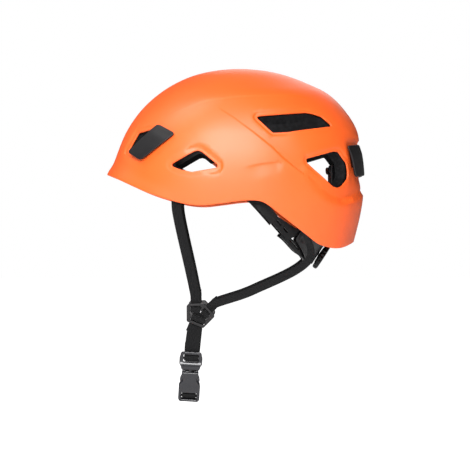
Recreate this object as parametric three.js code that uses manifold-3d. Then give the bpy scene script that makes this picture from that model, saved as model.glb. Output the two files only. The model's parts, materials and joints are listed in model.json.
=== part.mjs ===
// Climbing helmet: hard shell, foam liner, headband with a dial closure, headlamp clips and a chin strap.
// Millimetres. +Z is up, the wearer looks along -Y and the wearer's left side is +X.
// The origin is on the mid-plane, inside the head opening at the height of the headband.
import * as THREE from 'three';
import { mergeVertices } from 'three/addons/utils/BufferGeometryUtils.js';
import Module from 'manifold-3d';

const wasm = await Module();
wasm.setup();

// ---- driving dimensions -------------------------------------------------------------------------
const SHELL_WALL = 2.2;
const LINER_GAP = 1.0;
const LINER_WALL = 14;
const TOUCH_GAP = 0.35;
// Horizontal sections of the shell from the crown down: height, reach front, reach back, half width
const SECTIONS = [
  [131.7, 0, 0, 0],
  [126.4, 43.5, 43, 35],
  [117.5, 67, 69, 55],
  [104.5, 88, 95.5, 75],
  [87, 107, 113.5, 90.5],
  [65, 122.5, 127, 101.5],
  [43.5, 132, 130.5, 106.5],
  [22, 138.8, 131, 108.5],
  [-5, 143, 130.5, 108],
  [-30, 145, 126.5, 105],
  [-66, 146, 117.5, 98],
];
const CROWN_Z = SECTIONS[0][0];
const DEPTH = CROWN_Z - SECTIONS[SECTIONS.length - 1][0];
// Lower edge of the shell and of the liner in side view: y, z
const SHELL_EDGE = [
  [-150, 19], [-131, 11.5], [-117, 5], [-100, -3], [-84, -9], [-60, -16], [-40, -18], [-20, -16], [4, -13],
  [18, -13], [25, -15], [32, -19.5], [43, -28], [56, -38], [69, -48], [82, -58], [90, -61], [99, -62.8],
  [109, -61.3], [126, -53],
];
const LINER_EDGE = [
  [-140, 22], [-90, 16], [-64, 20], [-38, 31], [-10, 38], [30, 40], [58, 34], [70, 28], [79, 17], [86, 5],
  [96, -8], [110, -18], [130, -26],
];
const VISOR_FLARE = 4.5;
const REAR_RIDGE = 3.7;
const REAR_RIDGE_Z = 2;
// Openings in side view: y, z
const UPPER_VENT = [[16, 77], [70, 82], [77, 80.5], [87, 77.5], [96, 70], [98, 67], [51, 60], [35, 59.5]];
const REAR_VENT = [
  [70.5, 31.5], [101, 40], [106, 39.5], [115, 27.5], [116.5, 16.5], [115.5, 11], [109, 3], [104, 1],
  [99, 2.5], [71.5, 27.5],
];
const SIDE_VENT = [
  [-75, 24.5], [-49, 39.5], [-45, 40.5], [-41, 39], [-24, 25], [-24.5, 22], [-51, 17.5], [-63, 20],
];
const FRONT_VENT = [
  [-122, 40], [-110, 61], [-98, 63.5], [-82, 60], [-79, 55.5], [-91, 47], [-106, 35.5], [-115, 37.5],
];
// Headlamp clips: corners of the flap, starting with the two at its root
const FRONT_CLIP = [[-86.1, 67.9], [-67.5, 57.6], [-103.1, 29.1], [-116.7, 38]];
const REAR_CLIP = [[36, 48], [62, 46], [54, 13], [24, 15]];
const CLIP_LIFT = 1.3;
const CLIP_WALL = 2.2;
// The band that holds the head runs in a plane tilted down to the back, its arc centred on BAND_CENTRE
const BAND_TILT = THREE.MathUtils.degToRad(33);
const BAND_CENTRE = new THREE.Vector3(0, 14.8, -24.2);
const RACK_R = 80;
const RACK_WALL = 1.6;
// Beyond the cradle the arms climb towards the temples: height at the temple, and fall per mm to the back
const ARM_TOP = 10.8;
const ARM_FALL = 0.285;
const ARM_HALF = 4;
const PINION_R = 4;
const PINION_TEETH = 8;
const TOOTH_PITCH = (2 * Math.PI * PINION_R) / PINION_TEETH;
const TOOTH_HEIGHT = 1.5;
const DIAL_R = 15;
const DIAL_WALL = 5.5;
// Webbing
const STRAP_WALL = 1.3;
const SIDE_STRAP_W = 10.2;
const REAR_STRAP_W = 8.6;
const CHIN_STRAP_W = 15;
// Side-release buckle: its top, and the way it points down the strap
const BUCKLE_TOP = new THREE.Vector3(61, -52, -174);
const BUCKLE_DOWN = new THREE.Vector3(-0.26, -0.06, -0.96).normalize();
const DIVIDER = new THREE.Vector3(68, -42.5, -134.5);

// ---- materials ----------------------------------------------------------------------------------
const paint = (color, roughness, metalness = 0) =>
  new THREE.MeshStandardMaterial({ color, roughness, metalness });
const ORANGE = paint(0xf26a21, 0.38);
const BLACK_PLASTIC = paint(0x1b1b1d, 0.5);
const GREY_PLASTIC = paint(0x3b393c, 0.55);
const FOAM = paint(0x161617, 0.9);
const PAD = paint(0x222225, 0.95);
const WEBBING = paint(0x1d1d20, 0.85);
const STEEL = paint(0x8c8f93, 0.3, 1);

const helmet = new THREE.Group();

// ---- curves and solids --------------------------------------------------------------------------
// Smooth curve through [x, ...values] rows, column by column (cubic with finite-difference slopes)
function along(rows, x, column) {
  const last = rows.length - 1;
  const up = rows[last][0] > rows[0][0];
  let i = 0;
  while (i < last - 1 && (up ? x > rows[i + 1][0] : x < rows[i + 1][0])) i++;
  const slope = (k) => {
    const a = Math.max(0, k - 1);
    const b = Math.min(last, k + 1);
    return (rows[b][column] - rows[a][column]) / (rows[b][0] - rows[a][0]);
  };
  const h = rows[i + 1][0] - rows[i][0];
  const t = THREE.MathUtils.clamp((x - rows[i][0]) / h, 0, 1);
  const [p, q] = [rows[i][column], rows[i + 1][column]];
  const [m, n] = [slope(i) * h, slope(i + 1) * h];
  return p + t * (m + t * (3 * (q - p) - 2 * m - n + t * (2 * (p - q) + m + n)));
}

// The sections, by level: 0 at the crown, 1 at the bottom, with the height falling as its square
const LEVELS = SECTIONS.map(([z, ...reach]) => [Math.sqrt((CROWN_Z - z) / DEPTH), ...reach]);
const heightAt = (level) => CROWN_Z - DEPTH * level * level;
const levelAt = (z) => Math.sqrt(Math.max(0, (CROWN_Z - z) / DEPTH));
const powerAt = (level) => 2 + 0.35 * THREE.MathUtils.smoothstep(level, 0.2, 0.8);

function bulge(y, z) {
  const front = THREE.MathUtils.smoothstep(-y, 50, 125);
  const over = z - along(SHELL_EDGE, y, 1);
  const rear = THREE.MathUtils.smoothstep(y, 70, 118);
  const below = 1 - THREE.MathUtils.smoothstep(z, REAR_RIDGE_Z - 3, REAR_RIDGE_Z + 7);
  return VISOR_FLARE * front * Math.exp(-((over / 10) ** 2)) + REAR_RIDGE * rear * below;
}

// A point on the shell's smooth form, turned by `turn` from the wearer's left towards the back
function formPoint(turn, level) {
  const [c, s] = [Math.cos(turn), Math.sin(turn)];
  const reach = Math.max(1e-6, along(LEVELS, level, s < 0 ? 1 : 2));
  const half = Math.max(1e-6, along(LEVELS, level, 3));
  const n = powerAt(level);
  const r = (Math.abs(c / half) ** n + Math.abs(s / reach) ** n) ** (-1 / n);
  return new THREE.Vector3(r * c, r * s, heightAt(level));
}

// The same point moved out along the surface normal by `off`, and by `swell` times the local bulge
function surface(turn, level, off, swell = 1) {
  const p = formPoint(turn, level);
  if (level < 0.02) return new THREE.Vector3(0, 0, p.z + off);
  const du = formPoint(turn + 1e-3, level).sub(formPoint(turn - 1e-3, level));
  const dv = formPoint(turn, level + 1e-3).sub(formPoint(turn, level - 1e-3));
  const normal = dv.cross(du).normalize();
  if (normal.dot(new THREE.Vector3(p.x, p.y, 40)) < 0) normal.negate();
  return p.addScaledVector(normal, swell * bulge(p.y, p.z) + off);
}

// The turn at which the section of height z reaches the side-view position y, or the rear-view position x
function turnForY(y, z) {
  let [a, b] = [-Math.PI / 2, Math.PI / 2];
  for (let i = 0; i < 40; i++) {
    const m = (a + b) / 2;
    if (formPoint(m, levelAt(z)).y < y) a = m;
    else b = m;
  }
  return a;
}
function turnForX(x, z) {
  let [a, b] = [0, Math.PI / 2];
  for (let i = 0; i < 40; i++) {
    const m = (a + b) / 2;
    if (formPoint(m, levelAt(z)).x > x) a = m;
    else b = m;
  }
  return a;
}

function levelAtEdge(edge, turn) {
  let [a, b] = [0.3, 1];
  for (let i = 0; i < 40; i++) {
    const m = (a + b) / 2;
    const p = formPoint(turn, m);
    if (p.z > along(edge, p.y, 1)) a = m;
    else b = m;
  }
  return a;
}

// Closed solid from triangles of points; faces are turned to point out
function solidOf(triangles) {
  const flat = [];
  let volume = 0;
  for (const [a, b, c] of triangles) volume += a.dot(new THREE.Vector3().crossVectors(b, c));
  for (const [a, b, c] of triangles) {
    if (a.distanceTo(b) < 1e-4 || b.distanceTo(c) < 1e-4 || c.distanceTo(a) < 1e-4) continue;
    for (const p of volume > 0 ? [a, b, c] : [a, c, b]) flat.push(p.x, p.y, p.z);
  }
  const geometry = new THREE.BufferGeometry();
  geometry.setAttribute('position', new THREE.Float32BufferAttribute(flat, 3));
  return geometry;
}

// Solid between an outer and an inner grid of points; `wrap` joins the last column to the first
function between(outer, inner, wrap) {
  const rows = outer.length - 1;
  const cols = outer[0].length - (wrap ? 0 : 1);
  const at = (grid, i, j) => grid[i][j % grid[0].length];
  const out = [];
  const quad = (a, b, c, d) => out.push([a, b, c], [a, c, d]);
  for (let j = 0; j < cols; j++) {
    for (let i = 0; i < rows; i++) {
      quad(at(outer, i, j), at(outer, i + 1, j), at(outer, i + 1, j + 1), at(outer, i, j + 1));
      quad(at(inner, i, j), at(inner, i, j + 1), at(inner, i + 1, j + 1), at(inner, i + 1, j));
    }
    quad(at(outer, rows, j), at(inner, rows, j), at(inner, rows, j + 1), at(outer, rows, j + 1));
    if (!wrap) quad(at(outer, 0, j), at(outer, 0, j + 1), at(inner, 0, j + 1), at(inner, 0, j));
  }
  for (let i = 0; i < rows && !wrap; i++) {
    quad(at(outer, i, 0), at(inner, i, 0), at(inner, i + 1, 0), at(outer, i + 1, 0));
    quad(at(outer, i, cols), at(outer, i + 1, cols), at(inner, i + 1, cols), at(inner, i, cols));
  }
  return solidOf(out);
}

const grid = (rows, cols, at) =>
  Array.from({ length: rows }, (_, i) => Array.from({ length: cols }, (_, j) => at(i / (rows - 1), j)));

function toManifold(geometry) {
  const bare = geometry.clone();
  bare.deleteAttribute('normal');
  bare.deleteAttribute('uv');
  const merged = mergeVertices(bare, 1e-4);
  const mesh = new wasm.Mesh({
    numProp: 3,
    vertProperties: new Float32Array(merged.attributes.position.array),
    triVerts: new Uint32Array(merged.index.array),
  });
  return new wasm.Manifold(mesh);
}

function fromManifold(solid) {
  const mesh = solid.getMesh();
  const geometry = new THREE.BufferGeometry();
  geometry.setAttribute('position', new THREE.BufferAttribute(new Float32Array(mesh.vertProperties), 3));
  geometry.setIndex(new THREE.BufferAttribute(new Uint32Array(mesh.triVerts), 1));
  return geometry;
}

function cut(geometry, ...tools) {
  const take = (solid, tool) => solid.subtract(toManifold(tool));
  return fromManifold(tools.reduce(take, toManifold(geometry)));
}
function join(geometry, ...others) {
  return fromManifold(others.reduce((solid, other) => solid.add(toManifold(other)), toManifold(geometry)));
}

function mirrored(geometry) {
  const g = geometry.clone();
  g.scale(-1, 1, 1);
  const plain = g.index ? g.toNonIndexed() : g;
  const p = plain.attributes.position.array;
  for (let i = 0; i < p.length; i += 9) {
    for (let k = 0; k < 3; k++) [p[i + 3 + k], p[i + 6 + k]] = [p[i + 6 + k], p[i + 3 + k]];
  }
  const out = new THREE.BufferGeometry();
  out.setAttribute('position', new THREE.Float32BufferAttribute(p, 3));
  return out;
}

const shapeOf = (points) => new THREE.Shape(points.map(([x, y]) => new THREE.Vector2(x, y)));
const slab = (shape, depth) => new THREE.ExtrudeGeometry(shape, { depth, bevelEnabled: false });
// Flat plate of an outline, half its wall above and half below the plane
function plateOf(outline, wall) {
  const g = slab(shapeOf(outline), wall);
  g.translate(0, 0, -wall / 2);
  return g;
}

// Prism of a side-view outline, from x0 to x1
function sidePrism(points, x0, x1) {
  const g = slab(shapeOf(points), x1 - x0);
  g.applyMatrix4(new THREE.Matrix4().set(0, 0, 1, x0, 1, 0, 0, 0, 0, 1, 0, 0, 0, 0, 0, 1));
  return g;
}
// Prism of a rear-view outline, from y1 back to y0
function rearPrism(points, y0, y1) {
  const g = slab(shapeOf(points), y1 - y0);
  g.applyMatrix4(new THREE.Matrix4().set(1, 0, 0, 0, 0, 0, -1, y1, 0, 1, 0, 0, 0, 0, 0, 1));
  return g;
}

// The outline drawn in towards its middle by a factor
function shrunk(points, factor) {
  const mid = points.reduce((m, p) => [m[0] + p[0] / points.length, m[1] + p[1] / points.length], [0, 0]);
  return points.map(([a, b]) => [mid[0] + (a - mid[0]) * factor, mid[1] + (b - mid[1]) * factor]);
}

// Flat webbing along points; `across` is the width direction at each point
function ribbon(points, across, width, wall) {
  const outer = [];
  const inner = [];
  points.forEach((p, i) => {
    const ahead = points[Math.min(i + 1, points.length - 1)];
    const behind = points[Math.max(i - 1, 0)];
    const run = ahead.clone().sub(behind).normalize();
    const side = (Array.isArray(across) ? across[i] : across).clone();
    side.addScaledVector(run, -side.dot(run)).normalize();
    const face = run.cross(side).normalize();
    const edge = (u, v) => p.clone().addScaledVector(side, u * width / 2).addScaledVector(face, v * wall / 2);
    outer.push([edge(-1, 1), edge(1, 1)]);
    inner.push([edge(-1, -1), edge(1, -1)]);
  });
  return between(outer, inner, false);
}

function add(parent, name, geometry, material) {
  const mesh = new THREE.Mesh(geometry, material);
  mesh.name = name;
  parent.add(mesh);
  return mesh;
}
function addPair(parent, name, geometry, material) {
  add(parent, `left_${name}`, geometry, material);
  add(parent, `right_${name}`, mirrored(geometry), material);
}

// ---- shell and liner ----------------------------------------------------------------------------
const SHELL_COLS = 64;
const columnTurn = (j) => (2 * Math.PI * j) / SHELL_COLS;

function cap(edge, rows, outerOff, innerOff, swell) {
  const layer = (off) =>
    grid(rows, SHELL_COLS, (s, j) => {
      const turn = columnTurn(j);
      return surface(turn, levelAtEdge(edge, turn) * s, off, swell);
    });
  return between(layer(outerOff), layer(innerOff), true);
}

const bothSides = (tool) => [tool, mirrored(tool)];

function outerShell() {
  return cut(
    cap(SHELL_EDGE, 17, 0, -SHELL_WALL, 1),
    ...bothSides(sidePrism(UPPER_VENT, 20, 140)),
    ...bothSides(sidePrism(REAR_VENT, 20, 140)),
    ...bothSides(sidePrism(SIDE_VENT, 20, 140)),
    ...bothSides(sidePrism(FRONT_VENT, 12, 140)),
    ...bothSides(rearPrism(shrunk(REAR_CLIP, 0.55), 90, 150)),
  );
}

function foamLiner() {
  const outer = -(SHELL_WALL + LINER_GAP);
  const pocket = (points) => bothSides(sidePrism(shrunk(points, 0.92), 48, 140));
  const body = cap(LINER_EDGE, 12, outer, outer - LINER_WALL, 0);
  const clipPockets = bothSides(rearPrism(shrunk(REAR_CLIP, 0.7), 112, 150));
  return cut(body, ...pocket(REAR_VENT), ...pocket(SIDE_VENT), ...clipPockets, ...linerRecesses());
}

// Blind recesses in the foam behind the upper vents and the front clips
function linerRecesses() {
  const recess = (points, depth) => {
    const corners = shrunk(points, 0.9);
    const skin = (off) => corners.map(([y, z]) => surface(turnForY(y, z), levelAt(z), off));
    const outer = skin(2);
    const inner = skin(-depth);
    const mid = (ring) => ring.reduce((m, p) => m.addScaledVector(p, 1 / ring.length), new THREE.Vector3());
    const [outerMid, innerMid] = [mid(outer), mid(inner)];
    const faces = [];
    corners.forEach((_, i) => {
      const k = (i + 1) % corners.length;
      faces.push([outer[i], outer[k], outerMid], [inner[k], inner[i], innerMid]);
      faces.push([outer[k], outer[i], inner[i]], [outer[k], inner[i], inner[k]]);
    });
    return solidOf(faces);
  };
  return [...bothSides(recess(UPPER_VENT, 10)), ...bothSides(recess(FRONT_VENT, 11))];
}

add(helmet, 'outer_shell', outerShell(), ORANGE);
add(helmet, 'foam_liner', foamLiner(), FOAM);

// ---- headlamp clips -----------------------------------------------------------------------------
// A curved flap over the shell with a stem at its root that goes in through the opening under it
function clipFlap(corners, locate) {
  const rows = 7;
  const cols = 5;
  const place = (s, t, off) => {
    const [a, b, c, d] = corners;
    const mix = (k) => (1 - s) * ((1 - t) * a[k] + t * b[k]) + s * ((1 - t) * d[k] + t * c[k]);
    const lift = off > -3 ? 1.4 * Math.sin(s * Math.PI * 0.5) : 0;
    return locate(mix(0), mix(1), off + lift);
  };
  const plate = (off) => grid(rows, cols, (s, j) => place(s, j / (cols - 1), off));
  const flap = between(plate(CLIP_LIFT + CLIP_WALL), plate(CLIP_LIFT), false);
  const stemSide = (off) => grid(2, 2, (s, j) => place(0.26 + 0.14 * s, 0.26 + 0.28 * j, off));
  const stem = between(stemSide(CLIP_LIFT + 1), stemSide(-SHELL_WALL - 5), false);
  return join(flap, stem);
}

const onSide = (y, z, off) => surface(turnForY(y, z), levelAt(z), off);
const onRear = (x, z, off) => surface(turnForX(x, z), levelAt(z), off);
addPair(helmet, 'front_headlamp_clip', clipFlap(FRONT_CLIP, onSide), GREY_PLASTIC);
addPair(helmet, 'rear_headlamp_clip', clipFlap(REAR_CLIP, onRear), GREY_PLASTIC);

// ---- headband, closure and dial -----------------------------------------------------------------
// Local frame of the tilted band: +Y points back and down along the dial's axis, +Z is the band's normal
const band = new THREE.Group();
band.position.copy(BAND_CENTRE);
band.rotation.x = -BAND_TILT;
helmet.add(band);
band.updateMatrix();
const inBand = (x, y, z) => new THREE.Vector3(x, y, z).applyMatrix4(band.matrix);

// Curved plate about the band's axis: radii r0..r1, turned from b0 to b1 (0 is the back), heights z0..z1
function arcPlate(r0, r1, b0, b1, z0, z1, steps) {
  const side = (r) =>
    grid(steps, 2, (s, j) => {
      const b = THREE.MathUtils.degToRad(b0 + (b1 - b0) * s);
      const deg = b0 + (b1 - b0) * s;
      return new THREE.Vector3(r * Math.sin(b), r * Math.cos(b), j ? z1(deg) : z0(deg));
    });
  return between(side(r1), side(r0), false);
}
const flat = (z) => () => z;

const RACK_PITCH_Z = PINION_R;
const RACK_START = -8;
const RACK_END = 92;
const RACK_TEETH_END = 24;
const RACK_LOW = RACK_PITCH_Z + TOOTH_HEIGHT / 2 + 0.1;
const RACK_HIGH = RACK_LOW + 4.6;
// Where the arm, on its way out of the cradle, widens down to its climbing lower edge
const ARM_WIDENS = [48, 57];
const SLIT = 2.2;
// Tooth pointing down from the rack's edge: x, z
const RACK_TOOTH = [[-0.95, 0.6], [-0.3, -TOOTH_HEIGHT], [0.3, -TOOTH_HEIGHT], [0.95, 0.6]];

// Middle height of a climbing arm at `deg` from the back
const armMiddle = (deg) => ARM_TOP - ARM_FALL * RACK_R * Math.cos(THREE.MathUtils.degToRad(deg));

// Left arm with its rack above the pinion (up = 1) or below it (up = -1)
function rackArm(up) {
  const wide = (deg) => THREE.MathUtils.smoothstep(deg, ...ARM_WIDENS);
  const [rackLow, rackHigh] = up > 0 ? [RACK_LOW, RACK_HIGH] : [-RACK_HIGH, -RACK_LOW];
  const low = (deg) => rackLow + wide(deg) * (armMiddle(deg) - ARM_HALF - rackLow);
  const high = (deg) => rackHigh + wide(deg) * (Math.max(RACK_HIGH, armMiddle(deg) + ARM_HALF) - rackHigh);
  const arm = arcPlate(RACK_R, RACK_R + RACK_WALL, RACK_START, RACK_END, low, high, 41);
  const pitchDeg = THREE.MathUtils.radToDeg(TOOTH_PITCH / (RACK_R + RACK_WALL / 2));
  const teeth = [];
  for (let deg = -3 * pitchDeg; deg < RACK_TEETH_END; deg += pitchDeg) {
    const tooth = slab(shapeOf(RACK_TOOTH), RACK_WALL);
    tooth.rotateX(Math.PI / 2);
    if (up < 0) tooth.rotateY(Math.PI);
    tooth.translate(0, RACK_R + RACK_WALL, up * RACK_LOW);
    tooth.rotateZ(-THREE.MathUtils.degToRad(deg));
    teeth.push(tooth);
  }
  const slit = (b0, b1, above) => {
    const edge = (off) => (deg) => armMiddle(deg) + off;
    return arcPlate(RACK_R - 1, RACK_R + 3, b0, b1, edge(above), edge(above + SLIT), 6);
  };
  return cut(join(arm, ...teeth), slit(59, 64, 0.6), slit(67, 72, 0.6), slit(78, 83, 0), slit(86, 89, 0));
}

add(band, 'left_rack_arm', rackArm(1), BLACK_PLASTIC);
add(band, 'right_rack_arm', mirrored(rackArm(-1)), BLACK_PLASTIC);

// Front of the band: level across the forehead, dipping at the temples to lie in the tilted plane
const TEMPLE_R = RACK_R + RACK_WALL + 0.8;
const TEMPLE_TURN = 106;
const FOREHEAD_REACH = 115.2;
const FOREHEAD_Z = 8;
const [BAND_SIN, BAND_COS] = [Math.sin(BAND_TILT), Math.cos(BAND_TILT)];
const TEMPLE_Y = BAND_CENTRE.y + ARM_TOP * BAND_SIN;
const TEMPLE_Z = BAND_CENTRE.z + ARM_TOP * BAND_COS;
// Slope of the climbing arms in side view, and the stretch over which the band eases into it
const ARM_SLOPE = (BAND_SIN + ARM_FALL * BAND_COS) / (BAND_COS - ARM_FALL * BAND_SIN);
const DIP_LENGTH = (2 * (FOREHEAD_Z - TEMPLE_Z)) / ARM_SLOPE;

function headbandZ(y) {
  const past = THREE.MathUtils.clamp((y - TEMPLE_Y + DIP_LENGTH) / DIP_LENGTH, 0, 1);
  return FOREHEAD_Z - (FOREHEAD_Z - TEMPLE_Z) * past * past;
}

// Points of the band: t runs from -1 at the right temple over the forehead at 0 to 1 at the left temple
function headbandPoint(t, off, up) {
  const turn = Math.abs(t) * TEMPLE_TURN;
  const side = Math.sign(t) || 1;
  const r = TEMPLE_R + off;
  if (turn > 90) {
    const b = THREE.MathUtils.degToRad(turn - 90);
    const back = r * Math.sin(b);
    return inBand(side * r * Math.cos(b), back, ARM_TOP - ARM_FALL * back + up);
  }
  const a = THREE.MathUtils.degToRad(turn);
  const tilt = BAND_TILT * THREE.MathUtils.smoothstep(turn, 40, 90);
  const n = 2 / 2.4;
  const y = TEMPLE_Y - (FOREHEAD_REACH + off) * Math.cos(a) ** n;
  const x = side * r * Math.sin(a) ** n;
  return new THREE.Vector3(x, y + up * Math.sin(tilt), headbandZ(y) + up * Math.cos(tilt));
}

function frontHeadband() {
  const half = (t) => 11 - 5 * THREE.MathUtils.smoothstep(Math.abs(t), 0.25, 0.8);
  const side = (off) => grid(49, 2, (s, j) => headbandPoint(2 * s - 1, off, (j ? 1 : -1) * half(2 * s - 1)));
  return between(side(RACK_WALL), side(0), false);
}
add(helmet, 'front_headband', frontHeadband(), BLACK_PLASTIC);

// Cradle at the nape: an inner plate, a cover over the racks, the pinion and the dial
const CRADLE_R = RACK_R - TOUCH_GAP;
const CRADLE_WALL = 2.4;
const COVER_R = RACK_R + RACK_WALL + 0.4;
const COVER_WALL = 2;
const LIP_SPAN = 24;
const CRADLE_HALF = 13;
const HUB_R = 2.2;
const SCREW_R = 1.1;

// A round bar along the dial's axis between two radii
function dialBar(radius, y0, y1, sides = 16) {
  const g = new THREE.CylinderGeometry(radius, radius, y1 - y0, sides);
  g.translate(0, (y0 + y1) / 2, 0);
  return g;
}

// The base's wings reach out low down, under the arms; the cover's wings taper to a point between the arms
const BASE_WING = 62;
// Curved slot in each wing of the base: its stretch in degrees, the height it starts at and its width
const BASE_SLOT = [38, 53];
const BASE_SLOT_Z = -8.6;
const BASE_SLOT_W = 1.6;
const COVER_WING = 50;

function cradleBase() {
  const { smoothstep } = THREE.MathUtils;
  const top = (deg) => {
    const d = Math.abs(deg);
    const wing = -2.5 - 1.5 * smoothstep(d, 50, BASE_WING);
    const middle = CRADLE_HALF + 13 * smoothstep(d, 8, 22);
    return middle + (wing - middle) * smoothstep(d, 29, 37);
  };
  const low = (deg) => {
    const d = Math.abs(deg);
    return -CRADLE_HALF - 4 + 4.5 * smoothstep(d, 12, 31) + 5 * smoothstep(d, 36, BASE_WING);
  };
  const plate = arcPlate(CRADLE_R - CRADLE_WALL, CRADLE_R, -BASE_WING, BASE_WING, low, top, 49);
  const slot = (side) => {
    const z = (deg) => BASE_SLOT_Z + 3 * smoothstep(Math.abs(deg), ...BASE_SLOT);
    const up = (deg) => z(deg) + BASE_SLOT_W;
    return arcPlate(CRADLE_R - 4, CRADLE_R + 1, side * BASE_SLOT[0], side * BASE_SLOT[1], z, up, 8);
  };
  return cut(plate, slot(1), slot(-1));
}

function cradleCover() {
  const { smoothstep } = THREE.MathUtils;
  const low = (deg) => -CRADLE_HALF + 12 * smoothstep(Math.abs(deg), 24, COVER_WING);
  const high = (deg) => CRADLE_HALF - 2 * smoothstep(Math.abs(deg), 24, COVER_WING);
  const plate = arcPlate(COVER_R, COVER_R + COVER_WALL, -COVER_WING, COVER_WING, low, high, 33);
  const lip = (z0, z1) => arcPlate(RACK_R, COVER_R + 0.5, -LIP_SPAN, LIP_SPAN, flat(z0), flat(z1), 17);
  const walls = [lip(-CRADLE_HALF, 2 - CRADLE_HALF), lip(CRADLE_HALF - 2, CRADLE_HALF)];
  return cut(join(plate, ...walls), dialBar(HUB_R + 0.4, RACK_R, RACK_R + 8));
}

const DIAL_Y = COVER_R + COVER_WALL + 0.5;

// Gear teeth with straight flanks, and the hub that carries the dial
function drivePinion() {
  const outline = [];
  for (let i = 0; i < PINION_TEETH; i++) {
    const mid = (2 * Math.PI * (i + 0.5)) / PINION_TEETH;
    const point = (r, a) => outline.push([r * Math.sin(mid + a), r * Math.cos(mid + a)]);
    point(PINION_R - 1.2, -0.25);
    point(PINION_R, -0.15);
    point(PINION_R + 0.75, -0.07);
    point(PINION_R + 0.75, 0.07);
    point(PINION_R, 0.15);
    point(PINION_R - 1.2, 0.25);
  }
  const gear = slab(shapeOf(outline), RACK_WALL - 0.2);
  gear.rotateX(Math.PI / 2);
  gear.translate(0, RACK_R + RACK_WALL - 0.1, 0);
  const hub = dialBar(HUB_R, RACK_R + 0.3, DIAL_Y - TOUCH_GAP);
  return cut(join(gear, hub), dialBar(SCREW_R + 0.2, RACK_R - 1, DIAL_Y + 1, 12));
}

function dialKnob() {
  const lobes = 18;
  const steps = lobes * 4;
  const outline = Array.from({ length: steps }, (_, i) => {
    const r = DIAL_R - (i % 4 === 0 ? 1 : 0);
    const a = (2 * Math.PI * i) / steps;
    return [r * Math.sin(a), r * Math.cos(a)];
  });
  const rim = slab(shapeOf(outline), DIAL_WALL);
  rim.rotateX(Math.PI / 2);
  rim.translate(0, DIAL_Y + 1 + DIAL_WALL, 0);
  const collar = dialBar(HUB_R + 1.5, DIAL_Y, DIAL_Y + 3.5);
  const bore = dialBar(SCREW_R + 0.2, DIAL_Y - 1, DIAL_Y + 4, 12);
  const headSeat = dialBar(2.5, DIAL_Y + 3.5, DIAL_Y + DIAL_WALL + 2, 16);
  return cut(join(cut(rim, dialBar(DIAL_R - 4, DIAL_Y, DIAL_Y + 3, 24)), collar), bore, headSeat);
}

function detentRing() {
  const points = 20;
  const outline = Array.from({ length: points * 2 }, (_, i) => {
    const r = i % 2 ? DIAL_R - 5.6 : DIAL_R - 6.4;
    const a = (Math.PI * i) / points;
    return [r * Math.sin(a), r * Math.cos(a)];
  });
  const ring = slab(shapeOf(outline), 1.8);
  ring.rotateX(Math.PI / 2);
  ring.translate(0, DIAL_Y + 1.8 + TOUCH_GAP, 0);
  return cut(ring, dialBar(DIAL_R - 8.2, DIAL_Y - 2, DIAL_Y + 5, 20));
}

function dialScrew() {
  const shank = dialBar(SCREW_R, RACK_R + 0.4, DIAL_Y + 4.2, 12);
  return join(shank, dialBar(2.2, DIAL_Y + 3.9, DIAL_Y + 5.6, 16));
}

add(band, 'cradle_base', cradleBase(), BLACK_PLASTIC);
add(band, 'cradle_cover', cradleCover(), GREY_PLASTIC);
add(band, 'drive_pinion', drivePinion(), GREY_PLASTIC);
add(band, 'detent_ring', detentRing(), BLACK_PLASTIC);
add(band, 'dial_knob', dialKnob(), BLACK_PLASTIC);
add(band, 'dial_screw', dialScrew(), STEEL);

// Hangers that carry the cradle from pegs at the back of the liner
const HANGER_TURN = THREE.MathUtils.degToRad(25);
const HANGER_W = 9;
const hangerFoot = (z) => {
  const r = CRADLE_R + 0.4 + 0.8;
  return inBand(r * Math.sin(HANGER_TURN), r * Math.cos(HANGER_TURN), z);
};
const HANGER_TOP = new THREE.Vector3(46, 100, 26);
const HANGER_ACROSS = new THREE.Vector3(0.9, -0.45, 0);
const HANGER_WALL = 1.6;
const hangerPath = () => {
  const [foot, above] = [hangerFoot(14.5), hangerFoot(26)];
  const curve = new THREE.CatmullRomCurve3([foot, above, new THREE.Vector3(43, 99.5, -4), HANGER_TOP]);
  return curve.getPoints(12);
};
const hanger = ribbon(hangerPath(), HANGER_ACROSS, HANGER_W, HANGER_WALL);
addPair(helmet, 'cradle_hanger', hanger, GREY_PLASTIC);

function pegAt(centre, run, radius, length) {
  const g = new THREE.CylinderGeometry(radius, radius, length, 12);
  const upright = new THREE.Vector3(0, 1, 0);
  g.applyQuaternion(new THREE.Quaternion().setFromUnitVectors(upright, run.clone().normalize()));
  g.translate(centre.x, centre.y, centre.z);
  return g;
}
const PEG_OUT = new THREE.Vector3(0.35, 0.93, 0.1);
const pegCentre = HANGER_TOP.clone().addScaledVector(new THREE.Vector3(0, 0, 1), -4);
pegCentre.addScaledVector(PEG_OUT.clone().normalize(), -3.1);
addPair(helmet, 'hanger_peg', pegAt(pegCentre, PEG_OUT, 4, 2.2), BLACK_PLASTIC);

// ---- pads ---------------------------------------------------------------------------------------
const PAD_WALL = 6;
function browPad() {
  const half = (t) => 9 - 3 * THREE.MathUtils.smoothstep(Math.abs(t), 0.2, 0.5);
  const side = (off) => grid(25, 2, (s, j) => {
    const t = (2 * s - 1) * 0.52;
    return headbandPoint(t || 1e-6, off, (j ? 1 : -1) * half(t));
  });
  return between(side(-TOUCH_GAP), side(-PAD_WALL + 1), false);
}
add(helmet, 'brow_pad', browPad(), PAD);

const napeOuter = CRADLE_R - CRADLE_WALL - TOUCH_GAP;
add(band, 'nape_pad', arcPlate(napeOuter - PAD_WALL + 1, napeOuter, -20, 20, flat(-11), flat(11), 13), PAD);

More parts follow.
